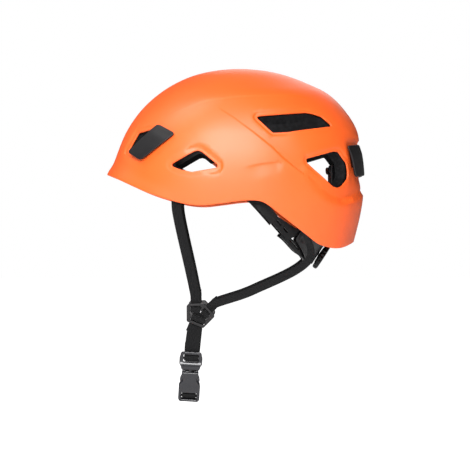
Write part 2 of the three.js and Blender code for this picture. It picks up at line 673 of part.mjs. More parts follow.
// Comfort pads on the inner face of the liner, between two turns and two levels
function crownPad(turn0, turn1, level0, level1, cols) {
  const depth = SHELL_WALL + LINER_GAP + LINER_WALL + 0.7;
  const rad = THREE.MathUtils.degToRad;
  const side = (off) => grid(5, cols, (s, j) => {
    const turn = rad(turn0 + ((turn1 - turn0) * j) / (cols - 1));
    return surface(turn, level0 + (level1 - level0) * s, -off, 0);
  });
  return between(side(depth), side(depth + PAD_WALL), false);
}
add(helmet, 'front_crown_pad', crownPad(-112, -68, 0.24, 0.46, 6), PAD);
add(helmet, 'rear_crown_pad', crownPad(68, 112, 0.24, 0.46, 6), PAD);
addPair(helmet, 'crown_pad', crownPad(-24, 24, 0.22, 0.42, 6), PAD);

// ---- straps -------------------------------------------------------------------------------------
const FRONT_ANCHOR = { y: -69, z: 4 };
const REAR_ANCHOR = { y: 70, z: -33 };
const ANCHOR_WALL = 5;

// A small block moulded to lie against the inside of the shell
function anchorBlock(locate, u0, u1, v0, v1) {
  const side = (off) => grid(3, 3, (s, j) => locate(u0 + ((u1 - u0) * j) / 2, v0 + (v1 - v0) * s, -off));
  return between(side(SHELL_WALL + 0.8), side(SHELL_WALL + ANCHOR_WALL), false);
}
const { y: FY, z: FZ } = FRONT_ANCHOR;
const { y: RY, z: RZ } = REAR_ANCHOR;
addPair(helmet, 'front_strap_anchor', anchorBlock(onSide, FY - 8, FY + 8, FZ - 7, FZ + 9), BLACK_PLASTIC);
addPair(helmet, 'rear_strap_anchor', anchorBlock(onSide, RY - 7, RY + 7, RZ - 6, RZ + 7), BLACK_PLASTIC);

// Divider: a flat ring with five sides and two cross bars that the straps go round
const divider = new THREE.Group();
const dividerFace = new THREE.Vector3(0.985, 0, -0.17).normalize();
const dividerRun = new THREE.Vector3(0, 1, 0);
const dividerUp = new THREE.Vector3().crossVectors(dividerFace, dividerRun);
divider.matrix.makeBasis(dividerRun, dividerUp, dividerFace).setPosition(DIVIDER);
const DIVIDER_WALL = 2.4;
const DIVIDER_OUTLINE = [[-14.5, 10], [-12.5, 12.5], [4, 13], [15, 1], [15, -2], [3.3, -14], [-14.5, -6.6]];
const DIVIDER_WINDOW = [[-11, 4.54], [0.58, 4.89], [8.46, -3.71], [5.84, -6.39], [-11, 0.62]];

// Webbing ends alike at the divider and the buckle: behind a rail, up through a slot, round a bar and
// back behind. Distances are from the rail's outer edge.
const RAIL_W = 3;
const BAR_MIDDLE = 6.9;
const BAR_WALL = 2.2;
const BAR_NEAR = BAR_MIDDLE - BAR_WALL / 2;
const BAR_FAR = BAR_MIDDLE + BAR_WALL / 2;
const BAR_REACH = 2.4;
const LAYER = DIVIDER_WALL / 2 + STRAP_WALL / 2 + 0.3;

// Each side of the divider that takes a strap: a corner, the way along its edge, and its slot's stretch
const DIVIDER_SIDES = {
  front: { corner: [-12.5, 12.5], heading: 1.7, from: 1.5, to: 13.2 },
  rear: { corner: [4, 13], heading: -47.5, from: 4.2, to: 14.4 },
  chin: { corner: [3.3, -14], heading: 157.4, from: 0.6, to: 16.4 },
};

// The point `s` along a side and `d` in from it; the inside lies to the right of the heading
function inDivider({ corner, heading }, s, d) {
  const a = THREE.MathUtils.degToRad(heading);
  const [x, y] = [Math.cos(a), Math.sin(a)];
  return [corner[0] + s * x + d * y, corner[1] + s * y - d * x];
}

function dividerPlate() {
  const slots = Object.values(DIVIDER_SIDES).map((side) => {
    const corners = [[side.from, RAIL_W], [side.to, RAIL_W], [side.to, BAR_NEAR], [side.from, BAR_NEAR]];
    return plateOf(corners.map(([s, d]) => inDivider(side, s, d)), DIVIDER_WALL + 2);
  });
  const g = cut(plateOf(DIVIDER_OUTLINE, DIVIDER_WALL), plateOf(DIVIDER_WINDOW, DIVIDER_WALL + 2), ...slots);
  g.applyMatrix4(divider.matrix);
  return g;
}
addPair(helmet, 'strap_divider', dividerPlate(), BLACK_PLASTIC);

// A place where a strap ends: the middle of the rail's outer edge, the way in from it, and the face it shows
function dividerEnd(side) {
  const middle = (side.from + side.to) / 2;
  const place = (d) => new THREE.Vector3(...inDivider(side, middle, d), 0).applyMatrix4(divider.matrix);
  return { edge: place(0), run: place(1).sub(place(0)).normalize(), face: dividerFace };
}

// The strap's points at such an end: `d` in from the rail's edge and `w` out towards the face
function weave({ edge, run, face }, back) {
  const rows = [[-4.5, -LAYER], [-1.5, -LAYER], [1.2, -LAYER], [2.6, -2.25], [3.9, -1.9], [4.45, -0.9]];
  for (let deg = 180; deg >= -90; deg -= 30) {
    const a = THREE.MathUtils.degToRad(deg);
    rows.push([BAR_MIDDLE + BAR_REACH * Math.cos(a), BAR_REACH * Math.sin(a)]);
  }
  const behind = -LAYER - STRAP_WALL - 0.35;
  rows.push([5.6, -3.1], [4.2, behind + 0.15], [2.6, behind], [-back / 2, behind], [-back, behind]);
  return rows.map(([d, w]) => edge.clone().addScaledVector(run, d).addScaledVector(face, w));
}

// A strap that runs along `route` to such an end and is sewn to itself behind
function strapTo(route, end, width, back) {
  const across = end.face.clone().cross(end.run).normalize();
  const loop = weave(end, back);
  const lead = loop[0].clone().addScaledVector(end.run, -4);
  const points = [...new THREE.CatmullRomCurve3([...route, lead]).getPoints(10), ...loop];
  return ribbon(points, across, width, STRAP_WALL);
}

const frontTop = onSide(FY, FZ - 8, -SHELL_WALL - 3);
const frontRoute = [frontTop, new THREE.Vector3(91, -66.5, -26), new THREE.Vector3(77, -53, -88)];
const frontEnd = dividerEnd(DIVIDER_SIDES.front);
addPair(helmet, 'front_strap', strapTo(frontRoute, frontEnd, SIDE_STRAP_W, 12), WEBBING);

const rearTop = onSide(RY, RZ - 8, -SHELL_WALL - 5.2);
const rearRoute = [rearTop, new THREE.Vector3(64, 73, -76), new THREE.Vector3(70, 15, -108)];
const rearEnd = dividerEnd(DIVIDER_SIDES.rear);
addPair(helmet, 'rear_strap', strapTo(rearRoute, rearEnd, REAR_STRAP_W, 12), WEBBING);

// ---- buckle -------------------------------------------------------------------------------------
// Local frame of the buckle: +X runs down the strap, +Y across it to the back, +Z out to the left
const buckle = new THREE.Group();
const buckleSide = new THREE.Vector3(0, 1, 0).addScaledVector(BUCKLE_DOWN, -BUCKLE_DOWN.y).normalize();
const buckleFace = new THREE.Vector3().crossVectors(BUCKLE_DOWN, buckleSide);
buckle.matrix.makeBasis(BUCKLE_DOWN, buckleSide, buckleFace).setPosition(BUCKLE_TOP);
buckle.matrix.decompose(buckle.position, buckle.quaternion, buckle.scale);
helmet.add(buckle);
const inBuckle = (x, y, z) => new THREE.Vector3(x, y, z).applyMatrix4(buckle.matrix);

const MALE_W = 24.5;
const MALE_WALL = 4;
const MALE_BODY_END = 20;
const PRONG_ROOT = 20.4;
const PRONG_TIP = 37;
const PRONG_WALL = 2.8;
const FEMALE_START = 22;
const FEMALE_END = 55;
const FEMALE_W = 23;
const FEMALE_WALL = 8;
const FEMALE_BAR_X = FEMALE_END - 6.3;
const MOUTH_WALL = PRONG_WALL + 0.8;
const SLOT_LENGTH = 16.4;

const rect = (x0, x1, y0, y1) => [[x0, y0], [x1, y0], [x1, y1], [x0, y1]];
// An outline given down one side and repeated in mirror on the other
const bothEdges = (half) => [...half, ...half.map(([x, y]) => [x, -y]).reverse()];

// Clearance above and below the strap bars, between two places along the buckle
function overBars(x0, x1, wall) {
  return [1, -1].map((side) => {
    const box = new THREE.BoxGeometry(x1 - x0, SLOT_LENGTH, 4);
    box.translate((x0 + x1) / 2, 0, side * (wall / 2 + 2));
    return box;
  });
}

function buckleMale() {
  const w = MALE_W / 2;
  const half = [[0, w - 3], [1.2, w - 1.4], [7, w], [12.5, w], [16, w - 1.6], [MALE_BODY_END, w - 2.8]];
  const s = SLOT_LENGTH / 2;
  const holes = [rect(RAIL_W, BAR_NEAR, -s, s), rect(BAR_FAR, 11, -s, s)];
  const slots = holes.map((hole) => plateOf(hole, MALE_WALL + 2));
  const tongue = new THREE.BoxGeometry(18, 3, PRONG_WALL);
  tongue.translate(MALE_BODY_END + 8, 0, 0);
  return join(cut(plateOf(bothEdges(half), MALE_WALL), ...slots, ...overBars(-1, 11, BAR_WALL)), tongue);
}

function buckleProng() {
  const outline = [
    [PRONG_ROOT, 5], [PRONG_ROOT, 8.6], [25, 8.8], [28, 10.2], [31, 10.7], [33.6, 10.3], [34, 8.6],
    [PRONG_TIP, 6.8], [PRONG_TIP, 4.6], [33, 6], [25, 5.6],
  ];
  return plateOf(outline, PRONG_WALL);
}

function buckleFemale() {
  const w = FEMALE_W / 2;
  const half = [
    [FEMALE_START, w - 2.6], [FEMALE_START + 3, w - 2.4], [FEMALE_START + 6, w - 4],
    [FEMALE_START + 9, w - 4], [FEMALE_START + 13, w - 0.6], [FEMALE_START + 16, w],
    [FEMALE_END - 3, w], [FEMALE_END - 0.6, w - 1], [FEMALE_END, w - 2.5],
  ];
  const s = SLOT_LENGTH / 2;
  const slots = [-1, 1].map((way) => {
    const [near, far] = [way * (BAR_WALL / 2), way * (BAR_REACH + STRAP_WALL / 2 + 0.35)];
    const [x0, x1] = [Math.min(near, far), Math.max(near, far)];
    return plateOf(rect(FEMALE_BAR_X + x0, FEMALE_BAR_X + x1, -s, s), FEMALE_WALL + 2);
  });
  const mouth = new THREE.BoxGeometry(19, 23, MOUTH_WALL);
  mouth.translate(FEMALE_START + 5.5, 0, 0);
  const chamber = new THREE.BoxGeometry(4, 18.6, MOUTH_WALL);
  chamber.translate(FEMALE_START + 15.5, 0, 0);
  const bare = overBars(FEMALE_BAR_X - BAR_REACH, FEMALE_BAR_X + BAR_REACH, BAR_WALL);
  return cut(plateOf(bothEdges(half), FEMALE_WALL), ...slots, mouth, chamber, ...bare);
}

const prong = buckleProng();
const otherProng = prong.clone();
otherProng.rotateX(Math.PI);
add(buckle, 'buckle_male', buckleMale(), BLACK_PLASTIC);
add(buckle, 'front_buckle_prong', otherProng, BLACK_PLASTIC);
add(buckle, 'rear_buckle_prong', prong, BLACK_PLASTIC);
add(buckle, 'buckle_female', buckleFemale(), BLACK_PLASTIC);

// Chin straps: the left one ends alike at its divider and at the male half; the right one comes up through
// the female half from behind and turns round its bar
const chinEnd = dividerEnd(DIVIDER_SIDES.chin);
const mirrorPoint = (p) => new THREE.Vector3(-p.x, p.y, p.z);

// Webbing from one end's turn to the other's, twisting evenly in between
function doubleEnded(start, startAcross, route, finish, finishAcross, width) {
  const first = [...start].reverse();
  const bend = new THREE.CatmullRomCurve3([first[first.length - 1], ...route, finish[0]]);
  const middle = bend.getPoints(9).slice(1, -1);
  const [from, to] = [startAcross.clone(), finishAcross.clone()];
  if (from.dot(to) < 0) from.negate();
  const points = [...first, ...middle, ...finish];
  const sides = points.map((_, i) => {
    const t = THREE.MathUtils.smoothstep(i, first.length - 1, first.length + middle.length);
    return from.clone().lerp(to, t);
  });
  return ribbon(points, sides, width, STRAP_WALL);
}

const chinAcross = chinEnd.face.clone().cross(chinEnd.run).normalize();
const maleEnd = { edge: inBuckle(0, 0, 0), run: BUCKLE_DOWN, face: buckleFace };
const leftFinish = weave(maleEnd, 9);
const leftChin = doubleEnded(weave(chinEnd, 10), chinAcross, [], leftFinish, buckleSide, CHIN_STRAP_W);
add(helmet, 'left_chin_strap', leftChin, WEBBING);

const rightEnd = {
  edge: mirrorPoint(chinEnd.edge),
  run: mirrorPoint(chinEnd.run),
  face: mirrorPoint(chinEnd.face),
};
// The turn round the female half's bar, from behind it on the lower side to behind it on the upper side
const femaleTurn = [[BAR_REACH, -14], [BAR_REACH, -9], [BAR_REACH, -4]];
for (let deg = 0; deg <= 180; deg += 30) {
  const a = THREE.MathUtils.degToRad(deg);
  femaleTurn.push([BAR_REACH * Math.cos(a), BAR_REACH * Math.sin(a)]);
}
femaleTurn.push([-BAR_REACH, -4], [-BAR_REACH + 0.6, -9], [BAR_REACH - STRAP_WALL - 0.6, -14]);
const femaleLoop = femaleTurn.map(([x, z]) => inBuckle(FEMALE_BAR_X + x, 0, z));
const rightRoute = [inBuckle(FEMALE_BAR_X + BAR_REACH - 1, 0, -24)];
const rightStart = weave(rightEnd, 10);
const rightAcross = mirrorPoint(chinAcross);
const rightChin = doubleEnded(rightStart, rightAcross, rightRoute, femaleLoop, buckleSide, CHIN_STRAP_W);
add(helmet, 'right_chin_strap', rightChin, WEBBING);

export default helmet;
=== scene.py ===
import json
import math

import bmesh
import bpy
import numpy as np
from mathutils import Matrix, Vector
from mathutils.geometry import delaunay_2d_cdt


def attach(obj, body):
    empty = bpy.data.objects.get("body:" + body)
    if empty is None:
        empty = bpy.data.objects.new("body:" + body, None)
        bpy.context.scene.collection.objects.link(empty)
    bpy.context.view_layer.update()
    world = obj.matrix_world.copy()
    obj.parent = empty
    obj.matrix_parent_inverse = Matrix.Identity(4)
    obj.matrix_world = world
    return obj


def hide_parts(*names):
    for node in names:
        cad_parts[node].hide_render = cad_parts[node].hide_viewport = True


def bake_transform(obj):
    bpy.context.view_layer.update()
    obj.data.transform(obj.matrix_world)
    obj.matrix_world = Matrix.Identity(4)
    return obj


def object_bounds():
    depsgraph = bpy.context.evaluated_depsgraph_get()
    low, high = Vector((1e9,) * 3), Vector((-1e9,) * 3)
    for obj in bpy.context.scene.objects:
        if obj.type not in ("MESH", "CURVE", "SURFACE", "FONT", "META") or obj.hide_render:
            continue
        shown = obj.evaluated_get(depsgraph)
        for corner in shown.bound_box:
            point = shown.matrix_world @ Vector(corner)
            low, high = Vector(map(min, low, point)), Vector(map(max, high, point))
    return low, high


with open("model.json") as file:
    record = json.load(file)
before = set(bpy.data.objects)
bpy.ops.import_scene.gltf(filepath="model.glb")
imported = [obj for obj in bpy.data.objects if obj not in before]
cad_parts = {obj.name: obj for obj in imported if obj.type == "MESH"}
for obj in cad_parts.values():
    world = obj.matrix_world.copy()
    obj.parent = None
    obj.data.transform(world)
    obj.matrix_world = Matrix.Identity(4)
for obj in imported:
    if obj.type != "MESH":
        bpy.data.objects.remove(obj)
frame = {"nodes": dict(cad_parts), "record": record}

CAD_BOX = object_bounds()
MM = 0.001

# ---- driving dimensions, as in the CAD model ----
SIDES = (("left", False), ("right", True))
SHELL_WALL = 2.2
LINER_GAP = 1.0
LINER_WALL = 14
LINER_SETBACK = 1.4
# height, reach to the front, reach to the back, half width
SECTIONS = [
    (131.7, 0, 0, 0),
    (126.4, 43.5, 43, 35),
    (117.5, 67, 69, 55),
    (104.5, 88, 95.5, 75),
    (87, 107, 113.5, 90.5),
    (65, 122.5, 127, 101.5),
    (43.5, 132, 130.5, 106.5),
    (22, 138.8, 131, 108.5),
    (-5, 143, 130.5, 108),
    (-30, 145, 126.5, 105),
    (-66, 146, 117.5, 98),
]
CROWN_Z = SECTIONS[0][0]
DEPTH = CROWN_Z - SECTIONS[-1][0]
SHELL_EDGE = [
    (-150, 19), (-131, 11.5), (-117, 5), (-100, -3), (-84, -9), (-60, -16), (-40, -18), (-20, -16),
    (4, -13), (18, -13), (25, -15), (32, -19.5), (43, -28), (56, -38), (69, -48), (82, -58), (90, -61),
    (99, -62.8), (109, -61.3), (126, -53),
]
LINER_EDGE = [
    (-140, 22), (-90, 16), (-64, 20), (-38, 31), (-10, 38), (30, 40), (58, 34), (70, 28), (79, 17), (86, 5),
    (96, -8), (110, -18), (130, -26),
]
UPPER_VENT = [(16, 77), (70, 82), (77, 80.5), (87, 77.5), (96, 70), (98, 67), (51, 60), (35, 59.5)]
REAR_VENT = [
    (70.5, 31.5), (101, 40), (106, 39.5), (115, 27.5), (116.5, 16.5), (115.5, 11), (109, 3), (104, 1),
    (99, 2.5), (71.5, 27.5),
]
SIDE_VENT = [
    (-75, 24.5), (-49, 39.5), (-45, 40.5), (-41, 39), (-24, 25), (-24.5, 22), (-51, 17.5), (-63, 20),
]
FRONT_VENT = [
    (-122, 40), (-110, 61), (-98, 63.5), (-82, 60), (-79, 55.5), (-91, 47), (-106, 35.5), (-115, 37.5),
]
FRONT_CLIP = [(-86.1, 67.9), (-67.5, 57.6), (-103.1, 29.1), (-116.7, 38)]
REAR_CLIP = [(36, 48), (62, 46), (54, 13), (24, 15)]
CLIP_LIFT = 1.3
CLIP_WALL = 2.2
VISOR_FLARE = 4.5
REAR_RIDGE = 3.7

# Features of the shell in side view: y, z
RIDGE_LINE = [
    (52, 30), (62, 20), (72, 9.5), (84, -2), (96, -9.5), (107, -12.5), (118, -10), (128, -5), (142, 1),
]
DIAGONAL_CREASE = [(-24, 85.5), (-6.6, 74.3), (13.7, 59.2), (34.1, 42.9), (46.3, 30.7), (66.6, 15.4)]
SHORT_CREASE = [(3, 22), (28, 26.7), (40.1, 28.1), (47, 27.6)]
UPPER_RIDGE = [(-78, 70), (-62, 83), (-36, 92.5), (-5, 96.8), (27, 98.3), (60, 98.3), (84, 95)]


# ---- curves and the shell's form, on arrays ----
def along(rows, x, column=1):
    """Smooth curve through rows of (x, values...), one column of values, at the places x."""
    table = np.array(rows, float)
    if table[0, 0] > table[-1, 0]:
        table = table[::-1]
    xs, ys = table[:, 0], table[:, column]
    i = np.clip(np.searchsorted(xs, x) - 1, 0, len(xs) - 2)
    low = np.maximum(np.arange(len(xs)) - 1, 0)
    high = np.minimum(np.arange(len(xs)) + 1, len(xs) - 1)
    slope = (ys[high] - ys[low]) / (xs[high] - xs[low])
    h = xs[i + 1] - xs[i]
    t = np.clip((x - xs[i]) / h, 0, 1)
    p, q, m, n = ys[i], ys[i + 1], slope[i] * h, slope[i + 1] * h
    return p + t * (m + t * (3 * (q - p) - 2 * m - n + t * (2 * (p - q) + m + n)))


def unit(v):
    return v / np.linalg.norm(v, axis=-1, keepdims=True)


def lengths(path):
    """Length along a path at each of its points."""
    return np.concatenate([[0], np.cumsum(np.linalg.norm(np.diff(path, axis=0), axis=1))])


def smooth(x, a, b):
    t = np.clip((np.asarray(x, float) - a) / (b - a), 0, 1)
    return t * t * (3 - 2 * t)


LEVELS = [(math.sqrt((CROWN_Z - z) / DEPTH), *reach) for z, *reach in SECTIONS]


def level_at(z):
    return np.sqrt(np.maximum(0, (CROWN_Z - np.asarray(z, float)) / DEPTH))


def form_point(turn, level):
    """A point on the smooth form, turned from the wearer's left towards the back."""
    c, s = np.cos(turn), np.sin(turn)
    reach = np.where(s < 0, along(LEVELS, level, 1), along(LEVELS, level, 2))
    half = np.maximum(1e-6, along(LEVELS, level, 3))
    reach = np.maximum(1e-6, reach)
    n = 2 + 0.35 * smooth(level, 0.2, 0.8)
    r = (np.abs(c / half) ** n + np.abs(s / reach) ** n) ** (-1 / n)
    return np.stack([r * c, r * s, CROWN_Z - DEPTH * level**2], -1)


def form_normal(turn, level):
    step = 1e-3
    level = np.maximum(level, 0.02)
    du = form_point(turn + step, level) - form_point(turn - step, level)
    dv = form_point(turn, level + step) - form_point(turn, level - step)
    normal = unit(np.cross(du, dv))
    p = form_point(turn, level)
    flip = np.sum(normal * np.stack([p[..., 0], p[..., 1], np.full_like(p[..., 0], 40)], -1), -1) < 0
    normal[flip] *= -1
    return normal


def to_polyline(points, line):
    """Distance of 2-D points from a polyline, place along it from 0 to 1, and side (left is positive)."""
    line = np.array(line, float)
    a, b = line[:-1], line[1:]
    d = b - a
    rel = points[:, None] - a[None]
    t = np.clip(np.sum(rel * d, -1) / np.sum(d * d, -1), 0, 1)
    gap = points[:, None] - (a + t[..., None] * d)
    dist = np.linalg.norm(gap, axis=-1)
    k = np.argmin(dist, 1)
    rows = np.arange(len(points))
    before = lengths(line)
    where = (before[k] + t[rows, k] * (before[k + 1] - before[k])) / before[-1]
    side = np.sign(d[k, 0] * gap[rows, k, 1] - d[k, 1] * gap[rows, k, 0])
    return dist[rows, k], where, side


def inside(points, ring):
    """Which 2-D points lie inside a closed ring."""
    ring = np.asarray(ring, float)
    result = np.zeros(len(points), bool)
    for (x0, y0), (x1, y1) in zip(ring, np.roll(ring, -1, 0)):
        crosses = (y0 > points[:, 1]) != (y1 > points[:, 1])
        reach = (x1 - x0) * (points[:, 1] - y0) / ((y1 - y0) or 1e-12) + x0
        result ^= crosses & (points[:, 0] < reach)
    return result


def rounded(points, radius, step):
    """A closed outline with its corners rounded, sampled every `step`."""
    points = [np.array(p, float) for p in points]
    out = []
    for before, here, after in zip(points[-1:] + points[:-1], points, points[1:] + points[:1]):
        u, v = before - here, after - here
        lu, lv = np.linalg.norm(u), np.linalg.norm(v)
        u, v = u / lu, v / lv
        half = math.acos(np.clip(u @ v, -1, 1)) / 2
        cut = min(radius / max(math.tan(half), 1e-6), 0.48 * lu, 0.48 * lv)
        a, b = here + u * cut, here + v * cut
        count = max(2, int((math.pi - 2 * half) * cut * math.tan(half) / step) + 1)
        for t in np.linspace(0, 1, count + 1):
            out.append((1 - t) ** 2 * a + 2 * t * (1 - t) * here + t * t * b)
    return resampled(np.array(out), step, True)


def resampled(points, step, closed):
    points = np.asarray(points, float)
    if closed:
        points = np.vstack([points, points[:1]])
    s = lengths(points)
    count = max(3, int(round(s[-1] / step)))
    places = np.linspace(0, s[-1], count + 1)[: count if closed else count + 1]
    return np.stack([np.interp(places, s, points[:, k]) for k in range(points.shape[1])], 1)


def offset_ring(ring, distance):
    """A closed ring moved outwards (or inwards, below 0)."""
    ahead, behind = np.roll(ring, -1, 0), np.roll(ring, 1, 0)
    run = unit(ahead - behind)
    area = 0.5 * np.sum(ring[:, 0] * ahead[:, 1] - ahead[:, 0] * ring[:, 1])
    out = np.stack([run[:, 1], -run[:, 0]], 1) * math.copysign(1, area)
    return ring + out * distance


def edge_drop(distance, radius):
    """How far a rounded edge falls away at a distance in from it."""
    d = np.clip(distance, 0, radius)
    return radius - np.sqrt(np.maximum(0, radius**2 - (radius - d) ** 2))


def signed_gap(points, ring):
    """Distance outside a closed ring, negative inside it."""
    dist, _, _ = to_polyline(points, np.vstack([ring, ring[:1]]))
    return np.where(inside(points, ring), -dist, dist)


# ---- meshes ----
def add_object(name, data):
    obj = bpy.data.objects.new(name, data)
    bpy.context.scene.collection.objects.link(obj)
    return obj


def apply_modifiers(obj):
    done = bpy.data.meshes.new_from_object(obj.evaluated_get(bpy.context.evaluated_depsgraph_get()))
    obj.modifiers.clear()
    obj.data = done


def new_mesh(name, verts, faces, material, sharp=35, uv=None):
    """A mesh object from points in millimetres."""
    mesh = bpy.data.meshes.new(name)
    corners = [tuple(int(i) for i in f) for f in faces]
    mesh.from_pydata([tuple(v) for v in np.asarray(verts) * MM], [], corners)
    mesh.validate()
    bm = bmesh.new()
    bm.from_mesh(mesh)
    bmesh.ops.recalc_face_normals(bm, faces=bm.faces)
    if bm.calc_volume(signed=True) < 0:
        bmesh.ops.reverse_faces(bm, faces=bm.faces)
    bm.to_mesh(mesh)
    bm.free()
    mesh.shade_smooth()
    mesh.set_sharp_from_angle(angle=math.radians(sharp))
    if uv is not None:
        layer = mesh.uv_layers.new(name="UVMap")
        for loop in mesh.loops:
            layer.data[loop.index].uv = uv[loop.vertex_index]
    mesh.materials.append(material)
    return add_object(name, mesh)


def settle(piece, body, slot, *nodes):
    if body:
        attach(piece, body)
    if nodes:
        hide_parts(*nodes)
    return piece


def triangles(points, loops):
    """Delaunay triangles of 2-D points, keeping the closed loops (lists of indices) as edges."""
    edges = [(loop[i], loop[(i + 1) % len(loop)]) for loop in loops for i in range(len(loop))]
    verts, _, faces, _, _, _ = delaunay_2d_cdt([Vector(p) for p in points], edges, [], 0, 1e-5)
    return np.array([(v.x, v.y) for v in verts]), np.array([f for f in faces if len(f) == 3])


def compact(points, faces):
    """The points that faces use, and the faces with their new numbers."""
    used = np.unique(faces)
    remap = -np.ones(len(points), int)
    remap[used] = np.arange(len(used))
    return points[used], remap[faces]


def boundary_edges(faces):
    """Directed edges that only one triangle uses."""
    directed = dict.fromkeys(e for a, b, c in faces for e in ((a, b), (b, c), (c, a)))
    return [e for e in directed if (e[1], e[0]) not in directed]


def thick(count, faces):
    """Faces of a closed body: a sheet, its copy behind it and the walls between them."""
    out = [tuple(f) for f in faces] + [(a + count, c + count, b + count) for a, b, c in faces]
    out += [(b, a, a + count, b + count) for a, b in boundary_edges(faces)]
    return out


def plate(outline, wall, edge, spacing, holes=()):
    """A flat plate with rounded edges: points (x, y, height) and faces. Holes are rings too."""

    def depths_in(flat):
        """Distances of flat points from the outline and each hole, positive within the material."""
        return np.array([-signed_gap(flat, outline)] + [signed_gap(flat, hole) for hole in holes])

    rings = [outline] + list(holes)
    depths = [0, 0.15 * edge, 0.4 * edge, 0.7 * edge, edge]
    points, loops = [], []
    for k, ring in enumerate(rings):
        for depth in depths:
            shifted = offset_ring(ring, depth if k else -depth)
            if depth == 0:
                loops.append(list(range(len(points), len(points) + len(shifted))))
            points += list(shifted)
    low, high = np.min(outline, 0), np.max(outline, 0)
    xs, ys = (np.arange(low[k] + spacing / 2, high[k], spacing) for k in (0, 1))
    mesh_points = np.array([(x + (j % 2) * spacing / 2, y) for j, y in enumerate(ys) for x in xs])
    if len(mesh_points):
        points += list(mesh_points[depths_in(mesh_points).min(0) > edge + 0.3 * spacing])
    flat, faces = triangles(points, loops)
    flat, faces = compact(flat, faces[(depths_in(flat[faces].mean(1)) > 0).all(0)])
    top = wall / 2 - edge_drop(np.abs(depths_in(flat)).min(0), edge)
    verts = np.vstack([np.column_stack([flat, top]), np.column_stack([flat, -top])])
    return verts, thick(len(flat), faces)


def rectangle(x0, x1, y0, y1, radius, step=0.8):
    return rounded([(x0, y0), (x1, y0), (x1, y1), (x0, y1)], radius, step)


# ---- places on the shell ----
def bisect(test, low, high, count=36):
    for _ in range(count):
        middle = (low + high) / 2
        up = test(middle)
        low, high = np.where(up, middle, low), np.where(up, high, middle)
    return low


def turn_for_y(y, z):
    y, z = np.broadcast_arrays(np.asarray(y, float), np.asarray(z, float))
    ends = np.full(y.shape, math.pi / 2)
    return bisect(lambda m: form_point(m, level_at(z))[..., 1] < y, -ends, ends)


def turn_for_x(x, z):
    x, z = np.broadcast_arrays(np.asarray(x, float), np.asarray(z, float))
    back = np.full(x.shape, math.pi / 2)
    return bisect(lambda m: form_point(m, level_at(z))[..., 0] > x, np.zeros(x.shape), back)


def level_at_edge(edge, turn):
    def above(m):
        p = form_point(turn, m)
        return p[..., 2] > along(edge, p[..., 1])
    return bisect(above, np.full(turn.shape, 0.3), np.ones(turn.shape))


def at_turn(turn, level, off):
    """Points on the smooth form moved out by `off`."""
    return form_point(turn, level) + form_normal(turn, level) * np.asarray(off, float)[..., None]


def on_side(y, z, off):
    z = np.asarray(z, float)
    return at_turn(turn_for_y(y, z), level_at(z), off)


def on_rear(x, z, off):
    z = np.asarray(z, float)
    return at_turn(turn_for_x(x, z), level_at(z), off)


CHART = 210.0


def to_chart(turn, level):
    return np.stack([CHART * level * np.cos(turn), CHART * level * np.sin(turn)], -1)


class Opening:
    """A hole through a wall, drawn in side or rear view, which foreshortens it by squeeze each way."""

    def __init__(self, points, view, squeeze, radius, dish=0, dish_width=4, lip=(0, 1)):
        self.view, self.squeeze = view, np.array(squeeze)
        self.middle, self.lip = np.mean(points, 0), lip
        self.ring = rounded(np.array(points) / self.squeeze, radius, 1.1)
        self.dish, self.dish_width = dish, dish_width

    def chart_rings(self, distances, side):
        rings = []
        for distance in distances:
            a, z = (offset_ring(self.ring, distance) * self.squeeze).T
            turn = turn_for_y(a, z) if self.view == "side" else turn_for_x(a, z)
            turn = turn if side > 0 else math.pi - turn
            rings.append(to_chart(turn, level_at(z)))
        return rings

    def toward(self, side, way):
        """1 on the side that faces a given way in the view, down to a little on the far side."""
        return 0.12 + 0.88 * smooth((side - self.middle) @ np.array(way), -4, 9)

    def gap(self, p):
        """Distance outside the opening for points of the wall, on either side of the helmet."""
        a = p[:, 1] if self.view == "side" else np.abs(p[:, 0])
        far = p[:, 1] < 0 if self.view == "rear" else np.abs(p[:, 0]) < 8
        gap = signed_gap(np.stack([a, p[:, 2]], 1) / self.squeeze, self.ring)
        return np.where(far, 1e3, gap)


def hex_points(radius, spacing):
    rows = np.arange(-radius, radius, spacing * 0.866)
    cols = np.arange(-radius, radius, spacing)
    grid = np.array([(x + (j % 2) * spacing / 2, y) for j, y in enumerate(rows) for x in cols])
    return grid[np.hypot(*grid.T) < radius]


